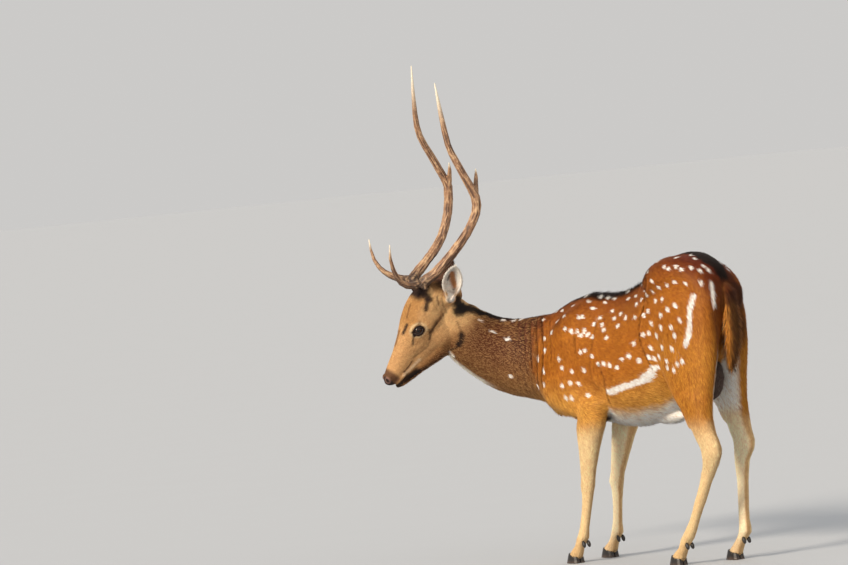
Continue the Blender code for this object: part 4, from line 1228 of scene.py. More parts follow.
# The coat's colour at each place
def coatColour(points, normals, lies, shares):
    at, head = measure(points, normals, shares), toHead(points)
    folded = onBothSides(head)
    colours = np.tile(coatColours["flank"], (len(points), 1))
    colours = layZones(colours, at, bodyZones)
    white = whiteMarks(points, normals, lies)
    colours = mixIn(colours, "spot", white * (1 - at["face"]) * (1 - at["legs"] * 0.5))
    # painted shade darkening each crease
    for chain, half, _, dark in creaseChains:
        close, away = closeTo(points, chain, creaseShadeLook["reach"])
        shaded = np.zeros(len(points))
        shaded[close] = bell(away, creaseShadeLook["wide"] * half) * dark
        colours = mixIn(colours, "creaseShade", shaded)
    colours = layZones(colours, at, faceZones)
    onHead = np.clip(at["face"] + at["neck"], 0, 1)
    colours = layLines(colours, points, folded, foundFaceLines, "face", onHead)
    colours = layZones(colours, at, grooveZones)
    colours = layEars(colours, points, normals, head, shares, at)
    uneven = mottle["coat"] * at["patchy"]
    uneven += mottle["face"] * at["face"] * lumps(points, mottle["faceSize"], 14)
    return np.clip(colours * (1 + uneven)[:, None], 0.0, 1.0)


skinColours = coatColour(skinPoints, coatNormals, skinLie, skinShares)
addColour(skinPiece.data, "coatColour", skinColours * skin["shade"])

# Grain size in millimetres, how far it darkens and lightens, roughness from and to, and the
# relief's strength and depth
hideLook = {
    "grainMm": 2.38,
    "shade": (0.72, 1.12),
    "rough": (0.70, 0.90),
    "bump": (0.35, 0.0008),
    "specular": 0.25,
}


# Sockets made uneven by a noise: the piece's own colour, its roughness and, with a second noise,
# its relief
def unevenLook(tree, attribute, look, noise, relief=None):
    tint = addNode(tree, "Attribute", attribute_name=attribute)
    value, (low, high) = noise.outputs["Fac"], look["shade"]
    ramp = {"Value": value, "From Min": 0.3, "From Max": 0.7, "To Min": low, "To Max": high}
    shade = addNode(tree, "MapRange", ramp)
    amount = {0: tint.outputs["Color"], "Scale": shade.outputs["Result"]}
    colour = addNode(tree, "VectorMath", amount, operation="SCALE")
    low, high = look["rough"]
    rough = addNode(tree, "MapRange", {"Value": value, "To Min": low, "To Max": high})
    sockets = {"Base Color": colour.outputs["Vector"], "Roughness": rough.outputs["Result"]}
    if relief:
        strength, distance = look["bump"]
        height = {"Height": relief.outputs["Fac"], "Strength": strength, "Distance": distance}
        sockets["Normal"] = addNode(tree, "Bump", height).outputs["Normal"]
    return sockets


# Haired hide: the short under-fur seen between the locks, dull and very fine
def hideMaterial():
    material, tree, shader = newMaterial("hairedHide")
    place = addNode(tree, "TexCoord").outputs["Object"]
    scale = perMetre(hideLook["grainMm"])
    grain = addNode(
        tree, "TexNoise", {"Vector": place, "Scale": scale, "Detail": 4.0, "Roughness": 0.65}
    )
    setSockets(tree, shader, unevenLook(tree, "coatColour", hideLook, grain, grain))
    setSockets(tree, shader, {"Specular IOR Level": hideLook["specular"]})
    return material


finishPiece(skinPiece, hideMaterial(), "coat", *fleshNodes)
print("skin coloured")


# Coat: solid tapered locks rooted all over the skin

coat = {
    # how far apart the locks are rooted, in metres
    "cells": {
        "trunk": 0.00245, "neck": 0.00245, "head": 0.00165, "ears": 0.00175, "legs": 0.00215,
        "tail": 0.0026,
    },
    "quickCells": 1.6,
    "mostTufts": 48500,
    "strayDeg": 6.0,
    "swirl": (5.0, 0.022),  # degrees and size of the cowlicks
    "liftSpread": (0.30, 0.25, 0.020),  # of each lock, and of patches of that size
    "liftLimits": (0.2, 2.2),
    "sizeSpread": (0.8, 0.4),
    "rootShade": 0.80,
    "ridgeShade": 0.85,
    "tipShade": 1.10,
    "patch": 0.0030,  # of the bake's map that each lock takes
    "sink": 0.0010,
    "sinkFullAt": 0.010,  # locks shorter than this are sunk less
    "ridgeAlong": 0.12,
    "rounding": (0.22, 0.10),  # how far a lock's normals turn aside and back
    "markStray": 0.0015,  # how far the edge of a marking is frayed
    "grain": (0.55, 0.9, 0.0045),  # tone of each lock, and of patches of that size
    "grainLimits": (0.4, 1.7),
    "grainTint": (0.80, 1.20, 1.25),  # a dark lock is redder, a light one paler
    # pale tips fleck the brown of the neck, but not its black and white marks
    "fleckShare": 0.34,
    "fleckMix": 0.55,
    "fleckAbove": (0.016, 0.034),
    "fleckBelow": (0.45, 0.30),
    "splitAt": 0.30,  # the trunk's coat is parted here into a fore and a hind piece
}
# Each coat piece: its name, whose spacing it has, and its slot
coatPieces = [
    ("coatForeLeft", "trunk", "coat"),
    ("coatHindLeft", "trunk", "coat"),
    ("coatForeRight", "trunk", "coat"),
    ("coatHindRight", "trunk", "coat"),
    ("coatNeck", "neck", "neck_coat"),
    ("coatHead", "head", "face_coat"),
    ("coatEars", "ears", "face_coat"),
    ("coatForeLegs", "legs", "leg_coat"),
    ("coatHindLegs", "legs", "leg_coat"),
    ("coatTail", "tail", "coat"),
]
# Row of coatPieces that each kind of flesh but the trunk belongs to
coatRows = {
    "neck": 4, "head": 5, "ear_left": 6, "ear_right": 6, "upper_leg_fore": 7, "lower_leg_fore": 7,
    "upper_leg_hind": 8, "lower_leg_hind": 8, "tail": 9, "scrotum": 9,
}


# Which coat piece each place belongs to; the trunk's four come first, left before right
def coatPart(points, shares):
    drawn = toDrawn(points)
    kinds = np.argmax(shares, axis=1)
    right, hind = drawn[:, 0] <= 0, drawn[:, 1] > coat["splitAt"]
    part = 2 * right + hind
    for kind, row in coatRows.items():
        part[kinds == kindNames.index(kind)] = row
    return part


# Roots spread evenly over the chosen skin triangles: at most one in each small cell of space
def rootsFor(chosen, cell, seed):
    draws = np.random.default_rng(seed)
    corners = skinPoints[skinTriangles[chosen]]
    first, second = corners[:, 1] - corners[:, 0], corners[:, 2] - corners[:, 0]
    area = np.linalg.norm(np.cross(first, second), axis=1) / 2
    count = int(area.sum() / cell**2 * 3.0)
    drawnArea = (np.arange(count) + draws.random(count)) / count * area.sum()
    rows = np.minimum(np.searchsorted(np.cumsum(area), drawnArea), len(area) - 1)
    u, v = draws.random(count), draws.random(count)
    flip = u + v > 1
    u[flip], v[flip] = 1 - u[flip], 1 - v[flip]
    weights = np.stack([1 - u - v, u, v], axis=1)
    places = np.einsum("nk,nkd->nd", weights, corners[rows])
    keys = np.floor(places / cell).astype(np.int64)
    keys = (keys[:, 0] * 2048 + keys[:, 1]) * 2048 + keys[:, 2]
    order = draws.permutation(count)
    _, first = np.unique(keys[order], return_index=True)
    kept = order[first]
    if len(kept) > coat["mostTufts"]:
        kept = draws.permutation(kept)[: coat["mostTufts"]]
    return chosen[rows[kept]], weights[kept], draws


def atRoots(triangles, weights, values):
    return np.einsum("nk,nkd->nd", weights, values[skinTriangles[triangles]])


# The skin's own unwrap: each of six facing directions, on each side, is laid flat in its own cell
# of a map of four columns and three rows
def boxUnwrap(places, normals):
    axis = np.argmax(np.abs(normals), axis=1)
    facing = axis * 2 + (normals[np.arange(len(normals)), axis] > 0)
    left = (toDrawn(places)[:, 0] > 0).astype(int)
    flat = np.zeros((len(places), 2))
    for group in range(12):
        mine = facing + 6 * left == group
        if not mine.any():
            continue
        keep = [k for k in range(3) if k != group % 6 // 2]
        spot = places[mine][:, keep]
        low, size = spot.min(axis=0), np.maximum(np.ptp(spot, axis=0), 1e-6)
        column, row = group % 4, group // 4
        corner = (column * 0.25 + 0.01, row * 0.333 + 0.01)
        flat[mine] = (spot - low) / size * (0.23, 0.31) + corner
    return flat


# The marking under each lock, frayed at its edge, and each lock a little lighter or darker
def tuftColours(roots, normals, lies, shares, draws):
    count = len(roots)
    head = toHead(roots)
    across = np.cross(normals, lies)
    stray = draws.normal(0.0, 1.0, (count, 2)) * coat["markStray"]
    seenAt = roots + lies * stray[:, :1] + across * stray[:, 1:] * 0.5
    colours = coatColour(seenAt, normals, lies, shares)
    single, patches, size = coat["grain"]
    swing = single * draws.normal(0.0, 1.0, count) + patches * lumps(roots, size, 13)
    tone = np.clip(1 + kindValue(shares, "grain") * swing, *coat["grainLimits"])
    colours = colours * tone[:, None] ** np.array(coat["grainTint"])
    bright = colours @ np.array([0.3, 0.6, 0.1])
    plain = smoothStep(bright, *coat["fleckAbove"]) * smoothStep(bright, *coat["fleckBelow"])
    behindJaw = shareOf(shares, "head") * smoothStep(head[:, 1], 0.0, 0.03)
    onNeck = np.clip(shareOf(shares, "neck") + behindJaw, 0, 1)
    flecked = (draws.random(count) < coat["fleckShare"] * onNeck * plain)[:, None]
    mix = coat["fleckMix"]
    colours = np.where(flecked, colours * (1 - mix) + coatColours["fleck"] * mix, colours)
    return np.clip(colours, 0.0, 1.0)


# Four corners of each lock: two roots, a ridge over them, and the tip
def tuftCorners(roots, normals, lies, shares, draws):
    count = len(roots)
    length, width, thick = (kindValue(shares, "hair", k) for k in range(3))
    lift = np.radians(kindValue(shares, "lift"))
    length, lift = hairStyle(roots, normals, shares, length, lift)
    swirlDeg, swirlSize = coat["swirl"]
    turn = np.radians(swirlDeg) * lumps(roots, swirlSize, 11)
    turn += np.radians(coat["strayDeg"]) * draws.normal(0.0, 1.0, count)
    across = np.cross(normals, lies)
    lies = lies * np.cos(turn)[:, None] + across * np.sin(turn)[:, None]
    across = np.cross(normals, lies)
    single, patches, size = coat["liftSpread"]
    spread = 1 + single * draws.normal(0.0, 1.0, count) + patches * lumps(roots, size, 12)
    lift = lift * np.clip(spread, *coat["liftLimits"])
    least, more = coat["sizeSpread"]
    length = length * (least + more * draws.random(count))
    width = width * (least + more * draws.random(count))
    sunk = coat["sink"] * np.minimum(1.0, length / coat["sinkFullAt"])
    base = roots - normals * sunk[:, None]
    aside = across * (width / 2)[:, None]
    forward, upward = length * np.cos(lift), length * np.sin(lift)
    tip = roots + lies * forward[:, None] + normals * upward[:, None]
    raised = normals * (thick + coat["sink"] * 0.5)[:, None]
    ridge = base * (1 - coat["ridgeAlong"]) + tip * coat["ridgeAlong"] + raised
    corners = np.stack([base - aside, base + aside, ridge, tip], axis=1)
    aslant, back = coat["rounding"]
    tilts = [normals - across * aslant, normals + across * aslant, normals, normals - lies * back]
    return corners.reshape(-1, 3), unit(np.stack(tilts, axis=1).reshape(-1, 3))


def growTufts(name, group, slot, index, material):
    parts = coatPart(skinPoints[skinTriangles].mean(axis=1), skinShares[skinTriangles].mean(axis=1))
    cell = coat["cells"][group] * 1.0
    triangles, weights, draws = rootsFor(np.nonzero(parts == index)[0], cell, 100 + index)
    roots, lies, shares = (
        atRoots(triangles, weights, values) for values in (skinPoints, skinLie, skinShares)
    )
    normals = unit(atRoots(triangles, weights, coatNormals))
    lies = unit(lies - normals * np.sum(lies * normals, axis=1)[:, None])
    keep = tuftRoom(toHead(roots))
    roots, normals, lies, shares = (values[keep] for values in (roots, normals, lies, shares))
    colours = tuftColours(roots, normals, lies, shares, draws)
    points, tilts = tuftCorners(roots, normals, lies, shares, draws)
    faces = np.array([(0, 3, 2), (2, 3, 1), (1, 3, 0), (0, 2, 1)])
    triangles = (np.arange(len(roots))[:, None, None] * 4 + faces[None]).reshape(-1, 3)
    mesh = makeMesh(name, points, triangles)
    shades = np.array([coat["rootShade"], coat["rootShade"], coat["ridgeShade"], coat["tipShade"]])
    shaded = colours[:, None, :] * shades[None, :, None]
    addColour(mesh, "coatColour", np.clip(shaded.reshape(-1, 3), 0, 1))
    mesh.normals_split_custom_set_from_vertices(tilts)
    patch = np.array([(-0.5, -0.5), (0.5, -0.5), (0.0, 0.0), (0.0, 0.5)]) * coat["patch"]
    flat = (boxUnwrap(roots, normals)[:, None, :] + patch[None]).reshape(-1, 2)
    layer = mesh.uv_layers.new(name="OFBake")
    layer.data.foreach_set("uv", flat[triangles.ravel()].astype(np.float32).ravel())
    finishPiece(addObject(name, mesh), material, slot)
    print(name, len(roots), "tufts")
    return len(triangles)


bareNose = {"before": -0.352, "above": -0.028}
bareEye = (0.0185, 0.0130)  # half length and half height left free of hair


# No hair on the nose pad or between the lids
def tuftRoom(head):
    folded = onBothSides(head)
    nose = (folded[:, 1] < bareNose["before"]) & (folded[:, 2] > bareNose["above"])
    centre, out, longWay, highWay = (np.array(v) for v in eyeFrame(1))
    offset = folded - centre
    atEye = (offset @ longWay / bareEye[0]) ** 2 + (offset @ highWay / bareEye[1]) ** 2 < 1
    atEye &= offset @ out > 0
    return ~(nose | atEye)


# How much longer and how much steeper the hair is, each within its ramps
hairGains = {
    "belly": (0.9, 0.9, [("nz", -0.4, -0.8)]),
    "rump": (0.7, 0.3, [("ny", 0.4, 0.8), ("y", 0.6, 0.68)]),
    "throat": (0.8, 0.4, [("nz", -0.2, -0.7)]),
    "crest": (
        0.9, 1.6,
        [("absX", 0.030, 0.010), ("level", 0.86, 0.96), ("y", 0.02, 0.10), ("y", 0.48, 0.38)],
    ),
    "jaw": (-0.55, 0.0, [("hy", -0.02, -0.05), ("hz", 0.0, -0.03)]),
    "muzzle": (-0.5, 0.0, [("hy", -0.20, -0.34)]),
    "lids": (-0.5, 0.0, [("fromLids", 0.012, 0.004)]),
    "poll": (0.5, 0.0, [("hy", -0.12, -0.02)]),
    "feet": (0.6, 0.0, [("z", 0.05, 0.02)]),
    "inEar": (1.3, 1.2, [("cup", 0.05, 0.5)]),
}
creaseHair = {"shorter": 0.5, "wide": 1.6, "reach": 0.02}


# Longer hair on belly, throat, rump and in the ears; shorter towards nose and feet
def hairStyle(roots, normals, shares, length, lift):
    head = toHead(roots)
    at = dict(zip("xyz", toDrawn(roots).T))
    at["absX"], at["level"] = np.abs(at["x"]), levelOn(toDrawn(roots))
    at["ny"], at["nz"] = normals[:, 1], normals[:, 2]
    at["hy"], at["hz"] = head[:, 1], head[:, 2]
    at["fromLids"] = lidDistance(onBothSides(head))
    torso, neck, face = (shareOf(shares, kind) for kind in ("torso", "neck", "head"))
    shins = shareOf(shares, "lower_leg_fore", "lower_leg_hind")
    jaw = np.clip(neck + 0.4 * face, 0, 1)

    # the gains of one group are added up, and the groups multiply
    def grow(length, lift, **places):
        longer, steeper = 1.0, 1.0
        for name, share in places.items():
            gain, turn, rows = hairGains[name]
            longer = longer + gain * share * within(at, rows)
            steeper = steeper + turn * share * within(at, rows)
        return length * longer, lift * steeper

    length, lift = grow(length, lift, belly=torso, rump=torso, throat=neck)
    for name, share in (("crest", torso), ("jaw", jaw)):
        length, lift = grow(length, lift, **{name: share})
    for chain, half, _, _ in creaseChains:
        close, away = closeTo(roots, chain, creaseHair["reach"])
        length[close] *= 1 - creaseHair["shorter"] * bell(away, creaseHair["wide"] * half)
    for name, share in (("muzzle", face), ("lids", face), ("poll", face), ("feet", shins)):
        length, lift = grow(length, lift, **{name: share})
    for name in sides:
        at["cup"] = normals @ earMouth(name)
        length, lift = grow(length, lift, inEar=shareOf(shares, "ear_" + name))
    return length, lift


# The four coats: name, roughness, and sheen at grazing angles. The strands are drawn coarse
# enough to show
furKinds = {
    "coat": ("sleekDeerHair", 0.58, 0.04),
    "neck_coat": ("coarseDeerHair", 0.68, 0.03),
    "face_coat": ("shortFaceHair", 0.66, 0.03),
    "leg_coat": ("shortLegHair", 0.60, 0.03),
}
furLook = {"strandMm": 1.11, "shade": (0.86, 1.10), "specular": 0.20, "roughSpread": 0.08}


# Deer hair in locks: soft satin along each lock, a faint rim of light at grazing angles
def furMaterial(name, roughness, sheen):
    material, tree, shader = newMaterial(name)
    place = addNode(tree, "TexCoord").outputs["Object"]
    scale = perMetre(furLook["strandMm"])
    strands = addNode(tree, "TexNoise", {"Vector": place, "Scale": scale, "Detail": 2.0})
    spread = furLook["roughSpread"]
    look = {"shade": furLook["shade"], "rough": (roughness - spread, roughness + spread)}
    setSockets(tree, shader, unevenLook(tree, "coatColour", look, strands))
    setSockets(tree, shader, {
        "Specular IOR Level": furLook["specular"],
        "Sheen Weight": sheen,
        "Sheen Roughness": 0.5,
    })
    return material


furMaterials = {slot: furMaterial(*kind) for slot, kind in furKinds.items()}
coatTriangles = 0
for index, (name, group, slot) in enumerate(coatPieces):
    coatTriangles += growTufts(name, group, slot, index, furMaterials[slot])
print("coat grown,", coatTriangles, "triangles")


# Antlers: furrowed bone, dark in the grooves and pale on the ridges and tips

antlers = {
    "voxel": 0.0014,
    "swell": 0.0005,
    "rounds": 14,
    "strength": 0.9,
    "furrow": 0.0014,  # depth at a full radius
    "fullRadius": 0.015,
    "thinThick": (0.25, 1.2),
    # furrows and bark: how many round the beam, how long along it
    "furrows": (2.6, 0.040),
    "bark": (6.0, 0.016),
    "sharp": (1.6, 0.9),
    "smoothFrom": (0.97, 0.72),  # shares of a beam's or tine's length
    "pearl": 0.0014,
    "pearlSize": 0.0065,
    "pearlsUntil": (0.15, 0.03),  # distance from the burr
    "burrWithin": 0.027,
    "burrAbove": 0.004,
    "grainMm": 6.25,
    "poreMm": 1.43,
    "shade": (0.78, 1.15),
    "rough": (0.42, 0.68),
    "bump": (0.30, 0.0005),
    "ior": 1.54,
}
antlerHex = {
    "grooveStainAndShade": "#3d271d", "bone": "#9a7253", "ridge": "#cfab82", "tip": "#efe4cd", "base": "#2c1c16",
}
# Paths in the head's frame, x counted outwards: across, along, up, radius
antlerPaths = {
    "left": {
        "beam": [
            (0.041, -0.057, 0.1005, 0.0190), (0.048, -0.036, 0.104, 0.0180),
            (0.062, 0.001, 0.095, 0.0165), (0.090, 0.084, 0.096, 0.0155),
            (0.118, 0.161, 0.107, 0.0148), (0.132, 0.228, 0.126, 0.0145),
            (0.135, 0.267, 0.160, 0.0150), (0.134, 0.293, 0.221, 0.0125),
            (0.130, 0.318, 0.281, 0.0112), (0.125, 0.345, 0.335, 0.0100),
            (0.118, 0.403, 0.406, 0.0078), (0.110, 0.476, 0.489, 0.0015),
        ],
        "brow": [
            (0.046, -0.042, 0.106, 0.0125), (0.051, -0.068, 0.124, 0.0125),
            (0.056, -0.083, 0.146, 0.0115), (0.062, -0.089, 0.170, 0.0100),
            (0.070, -0.085, 0.197, 0.0083), (0.078, -0.074, 0.224, 0.0066),
            (0.087, -0.054, 0.256, 0.0045), (0.095, -0.022, 0.287, 0.0013),
        ],
        "inner": [
            (0.134, 0.262, 0.154, 0.0100), (0.124, 0.296, 0.176, 0.0085),
            (0.112, 0.324, 0.191, 0.0058), (0.100, 0.346, 0.204, 0.0015),
        ],
    },
    "right": {
        "beam": [
            (0.041, -0.057, 0.1005, 0.0190), (0.049, -0.038, 0.108, 0.0180),
            (0.062, -0.006, 0.104, 0.0165), (0.090, 0.068, 0.092, 0.0155),
            (0.118, 0.140, 0.090, 0.0148), (0.132, 0.218, 0.117, 0.0145),
            (0.135, 0.285, 0.167, 0.0148), (0.134, 0.303, 0.207, 0.0128),
            (0.130, 0.330, 0.282, 0.0114), (0.125, 0.355, 0.351, 0.0100),
            (0.118, 0.402, 0.412, 0.0080), (0.110, 0.514, 0.519, 0.0015),
        ],
        "brow": [
            (0.046, -0.040, 0.110, 0.0125), (0.051, -0.058, 0.132, 0.0125),
            (0.054, -0.067, 0.152, 0.0115), (0.060, -0.073, 0.172, 0.0105),
            (0.066, -0.076, 0.196, 0.0090), (0.072, -0.074, 0.216, 0.0075),
            (0.080, -0.064, 0.243, 0.0055), (0.088, -0.043, 0.271, 0.0036),
            (0.095, -0.020, 0.294, 0.0013),
        ],
        "inner": [
            (0.134, 0.272, 0.156, 0.0100), (0.124, 0.305, 0.182, 0.0085),
            (0.112, 0.328, 0.204, 0.0058), (0.100, 0.343, 0.224, 0.0015),
        ],
    },
}


# For each point of an antler: distance run from the path's root, share of its length, radius there,
# and the turn round the path
def alongAntler(points, name):
    best = np.full(len(points), 1e9)
    run, share, radius, turn = (np.zeros(len(points)) for _ in range(4))
    outward = np.array([1.0, 0.0, 0.0])
    for path in antlerPaths[name].values():
        rows = np.array(path)
        rows[:, 0] *= sides[name]
        lengths = np.linalg.norm(np.diff(rows[:, :3], axis=0), axis=1)
        before = np.r_[0.0, np.cumsum(lengths)]
        for k, length in enumerate(lengths):
            a, b = rows[k], rows[k + 1]
            way = (b[:3] - a[:3]) / length
            along = np.clip((points - a[:3]) @ way / length, 0, 1)
            offset = points - a[:3] - along[:, None] * (b[:3] - a[:3])
            wide = a[3] + (b[3] - a[3]) * along
            reach = np.linalg.norm(offset, axis=1) / wide
            nearer = reach < best
            first = unit(outward - way * (outward @ way))
            second = np.cross(way, first)
            best[nearer] = reach[nearer]
            run[nearer] = (before[k] + along * length)[nearer]
            share[nearer] = ((before[k] + along * length) / before[-1])[nearer]
            radius[nearer] = wide[nearer]
            turn[nearer] = np.arctan2(offset @ second, offset @ first)[nearer]
    return run, share, radius, turn


# Weathered antler: bone rubbed pale on its ridges and stained by bark in its grooves
def antlerMaterial():
    material, tree, shader = newMaterial("weatheredAntler")
    place = addNode(tree, "TexCoord").outputs["Object"]
    coarse, fine = perMetre(antlers["grainMm"]), perMetre(antlers["poreMm"])
    stain = addNode(
        tree, "TexNoise", {"Vector": place, "Scale": coarse, "Detail": 5.0, "Roughness": 0.6}
    )
    pores = addNode(tree, "TexNoise", {"Vector": place, "Scale": fine, "Detail": 3.0})
    setSockets(tree, shader, unevenLook(tree, "boneColour", antlers, stain, pores))
    setSockets(tree, shader, {"IOR": antlers["ior"]})
    return material


# Furrows along a beam: as many round it as asked, each so long
def furrows(turn, run, around, length, seed):
    spots = np.stack([np.cos(turn) * around, np.sin(turn) * around, run / length], axis=1)
    return lumps(spots, 1.0, seed)


def buildAntler(name, material):
    nodes = sorted(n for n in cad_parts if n.startswith("antler_" + name))
    title = "antler" + name.capitalize()
    thing = remeshedCopies(title, nodes, antlers["swell"], antlers["voxel"])
    points = readPoints(thing.data)
    points = evenOut(edgeWeb(thing.data), points, antlers["rounds"], antlers["strength"])
    writePoints(thing.data, points)
    normals = readNormals(thing.data)
    head = toHead(points)
    run, share, radius, turn = alongAntler(head, name)
    size = np.clip(radius / antlers["fullRadius"], *antlers["thinThick"])
    seed = 20 + sides[name]
    bark = furrows(turn, run, *antlers["bark"], seed + 2)
    deep, shallow = antlers["sharp"]
    ridges = 1 - deep * np.abs(furrows(turn, run, *antlers["furrows"], seed))
    ridges -= shallow * np.abs(bark)
    worn = smoothStep(share, *antlers["smoothFrom"])
    root = antlerPaths[name]["beam"][0]
    burr = np.array([sides[name] * root[0], root[1], root[2] + antlers["burrAbove"]])
    fromBurr = np.linalg.norm(head - burr, axis=1)
    rough = smoothStep(fromBurr, *antlers["pearlsUntil"])
    pearls = np.maximum(0, lumps(points, antlers["pearlSize"], seed + 4)) * rough
    height = (ridges - 0.45) * antlers["furrow"] * size * worn
    height += pearls * antlers["pearl"] * (1 + (fromBurr < antlers["burrWithin"]))
    points = points + normals * height[:, None]
    writePoints(thing.data, points)
    patchy = lumps(points, 0.02, seed + 6)
    colours = {key: toLinear(code) for key, code in antlerHex.items()}
    tone = np.tile(colours["bone"], (len(points), 1))
    # ridges pale, grooves stained dark, and painted shade on the undersides near the head; black
    # about the burr, ivory tips
    # painted shade on the downward faces near the head, with some stain
    under = smoothStep(normals[:, 2], -0.1, -0.7) * smoothStep(fromBurr, 0.30, 0.10)
    atBurr = smoothStep(fromBurr, 0.075, 0.024) * (0.85 - 0.4 * np.clip(pearls * 3, 0, 1))
    for key, amount in (
        ("ridge", smoothStep(ridges + 0.25 * patchy, 0.35, 0.85) * 0.85),
        ("grooveStainAndShade", smoothStep(ridges, 0.25, -0.25) * worn * 0.75),
        ("ridge", smoothStep(bark * rough, 0.15, 0.5) * 0.6),
        ("grooveStainAndShade", under * 0.75),
        ("base", atBurr),
        ("tip", smoothStep(share, 0.80, 0.98)),
    ):
        amount = np.clip(amount, 0, 1)[:, None]
        tone = tone * (1 - amount) + colours[key] * amount
    addColour(thing.data, "boneColour", tone)
    finishPiece(thing, material, "antler", *nodes)
    print(thing.name, len(thing.data.polygons), "faces")


bone = antlerMaterial()
for name in sides:
    buildAntler(name, bone)


# Hooves and dewclaws: black horn with faint growth rings

hooves = {
    "voxel": 0.0012,
    "rounds": 10,
    "flatBelow": 0.004,  # the soles keep their level this far up
    "ring": 0.0042,
    "ringHeight": 0.00022,
    "ringSlant": 0.25,
    "wornUpTo": 0.012,
    "ringWorn": 0.08,
    "grainMm": (3.33, 3.33, 16.7),  # longer up the wall
    "rough": (0.28, 0.55),
    "bump": (0.25, 0.0004),
    "ior": 1.55,
}
hoofHex = {"horn": "#1b1613", "worn": "#5a4638"}


# Hoof horn: hard, close-grained and half polished by the ground
def hoofMaterial():
    material, tree, shader = newMaterial("hoofHorn")
    place = addNode(tree, "TexCoord").outputs["Object"]
    scale = tuple(perMetre(size) for size in hooves["grainMm"])
    stretched = addNode(tree, "Mapping", {"Vector": place, "Scale": scale}).outputs["Vector"]
    grain = addNode(tree, "TexNoise", {"Vector": stretched, "Scale": 1.0, "Detail": 4.0})
    grain = grain.outputs["Fac"]
    worn = addNode(tree, "Attribute", attribute_name="worn").outputs["Fac"]
    soft = addNode(tree, "Math", {0: worn, 1: grain}, operation="MULTIPLY").outputs["Value"]
    tones = {0: soft, 6: opaque(hoofHex["horn"]), 7: opaque(hoofHex["worn"])}
    low, high = hooves["rough"]
    rough = addNode(tree, "MapRange", {"Value": grain, "To Min": low, "To Max": high})
    strength, distance = hooves["bump"]
    height = {"Height": grain, "Strength": strength, "Distance": distance}
    setSockets(tree, shader, {
        "Base Color": addNode(tree, "Mix", tones, data_type="RGBA").outputs[2],
        "Roughness": rough.outputs["Result"],
        "IOR": hooves["ior"],
        "Normal": addNode(tree, "Bump", height).outputs["Normal"],
    })
    return material


def buildHooves():
    nodes = sorted(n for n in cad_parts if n.startswith(("claw", "dewclaw")))
    thing = remeshedCopies("hooves", nodes, 0.0, hooves["voxel"])
    points = readPoints(thing.data)
    level = np.clip(points[:, 2:3] / hooves["flatBelow"], 0.0, 1.0)
    points = evenOut(edgeWeb(thing.data), points, hooves["rounds"], level)
    writePoints(thing.data, points)
    normals = readNormals(thing.data)
    slant = points[:, 2] + hooves["ringSlant"] * points[:, 1]
    rings = np.sin(slant / hooves["ring"] * 2 * math.pi + 0.8 * lumps(points, 0.02, 31))
    upright = smoothStep(np.abs(normals[:, 2]), 0.9, 0.6)
    points = points + normals * (hooves["ringHeight"] * rings * upright)[:, None]
    points[:, 2] = np.maximum(points[:, 2], 0.0)
    writePoints(thing.data, points)
    worn = np.clip(1.1 - points[:, 2] / hooves["wornUpTo"], 0.0, 1.0)
    addValue(thing.data, "worn", worn + hooves["ringWorn"] * np.clip(rings, 0, 1))
    finishPiece(thing, hoofMaterial(), "horn", *nodes)
    print("hooves built,", len(thing.data.polygons), "faces")


buildHooves()


# Eyes: dark brown, with a wide level pupil under a clear domed cornea, and rims of bare dark skin

eyes = {
    "segments": 64,
    "rings": 40,
    "cornea": 0.0012,
    "corneaDeg": 40.0,
    "pupilWide": 0.62,  # across against along
    # radii on a ball of radius 1: where each part starts and where it is full
    "pupil": (0.17, 0.21),
    "irisEdge": (0.30, 0.62),
    "white": (0.66, 0.74),
    "streaks": 14.0,
    "rough": (0.05, 0.09),
    "ior": 1.38,
    "specular": 0.25,
    "coat": (0.35, 0.03),
}
eyeHex = {
    "white": "#3a2a22",
    "iris": "#3b2213",
    "irisEdge": "#1c100a",
    "pupil": "#050506",
    "lidDark": "#140d0b",
    "lidPale": "#2f1f19",
}
rims = {
    "half": 0.0021,
    "oval": (1.15, 0.85),  # along the eyeball and off it
    "above": 0.0006,
    "steps": 56,
    "sides": 10,
    "creaseMm": 2.0,
    "rough": (0.25, 0.5),
}
lashes = {
    "count": 34,
    "long": 0.0085,
    "spread": (0.10, 0.80),  # share of the upper lid where they start, and how much they cover
    "vary": (0.7, 0.5),
    "half": 0.00035,
    "thick": 0.0006,
    "forward": 0.55,
    "droop": 0.0010,
}


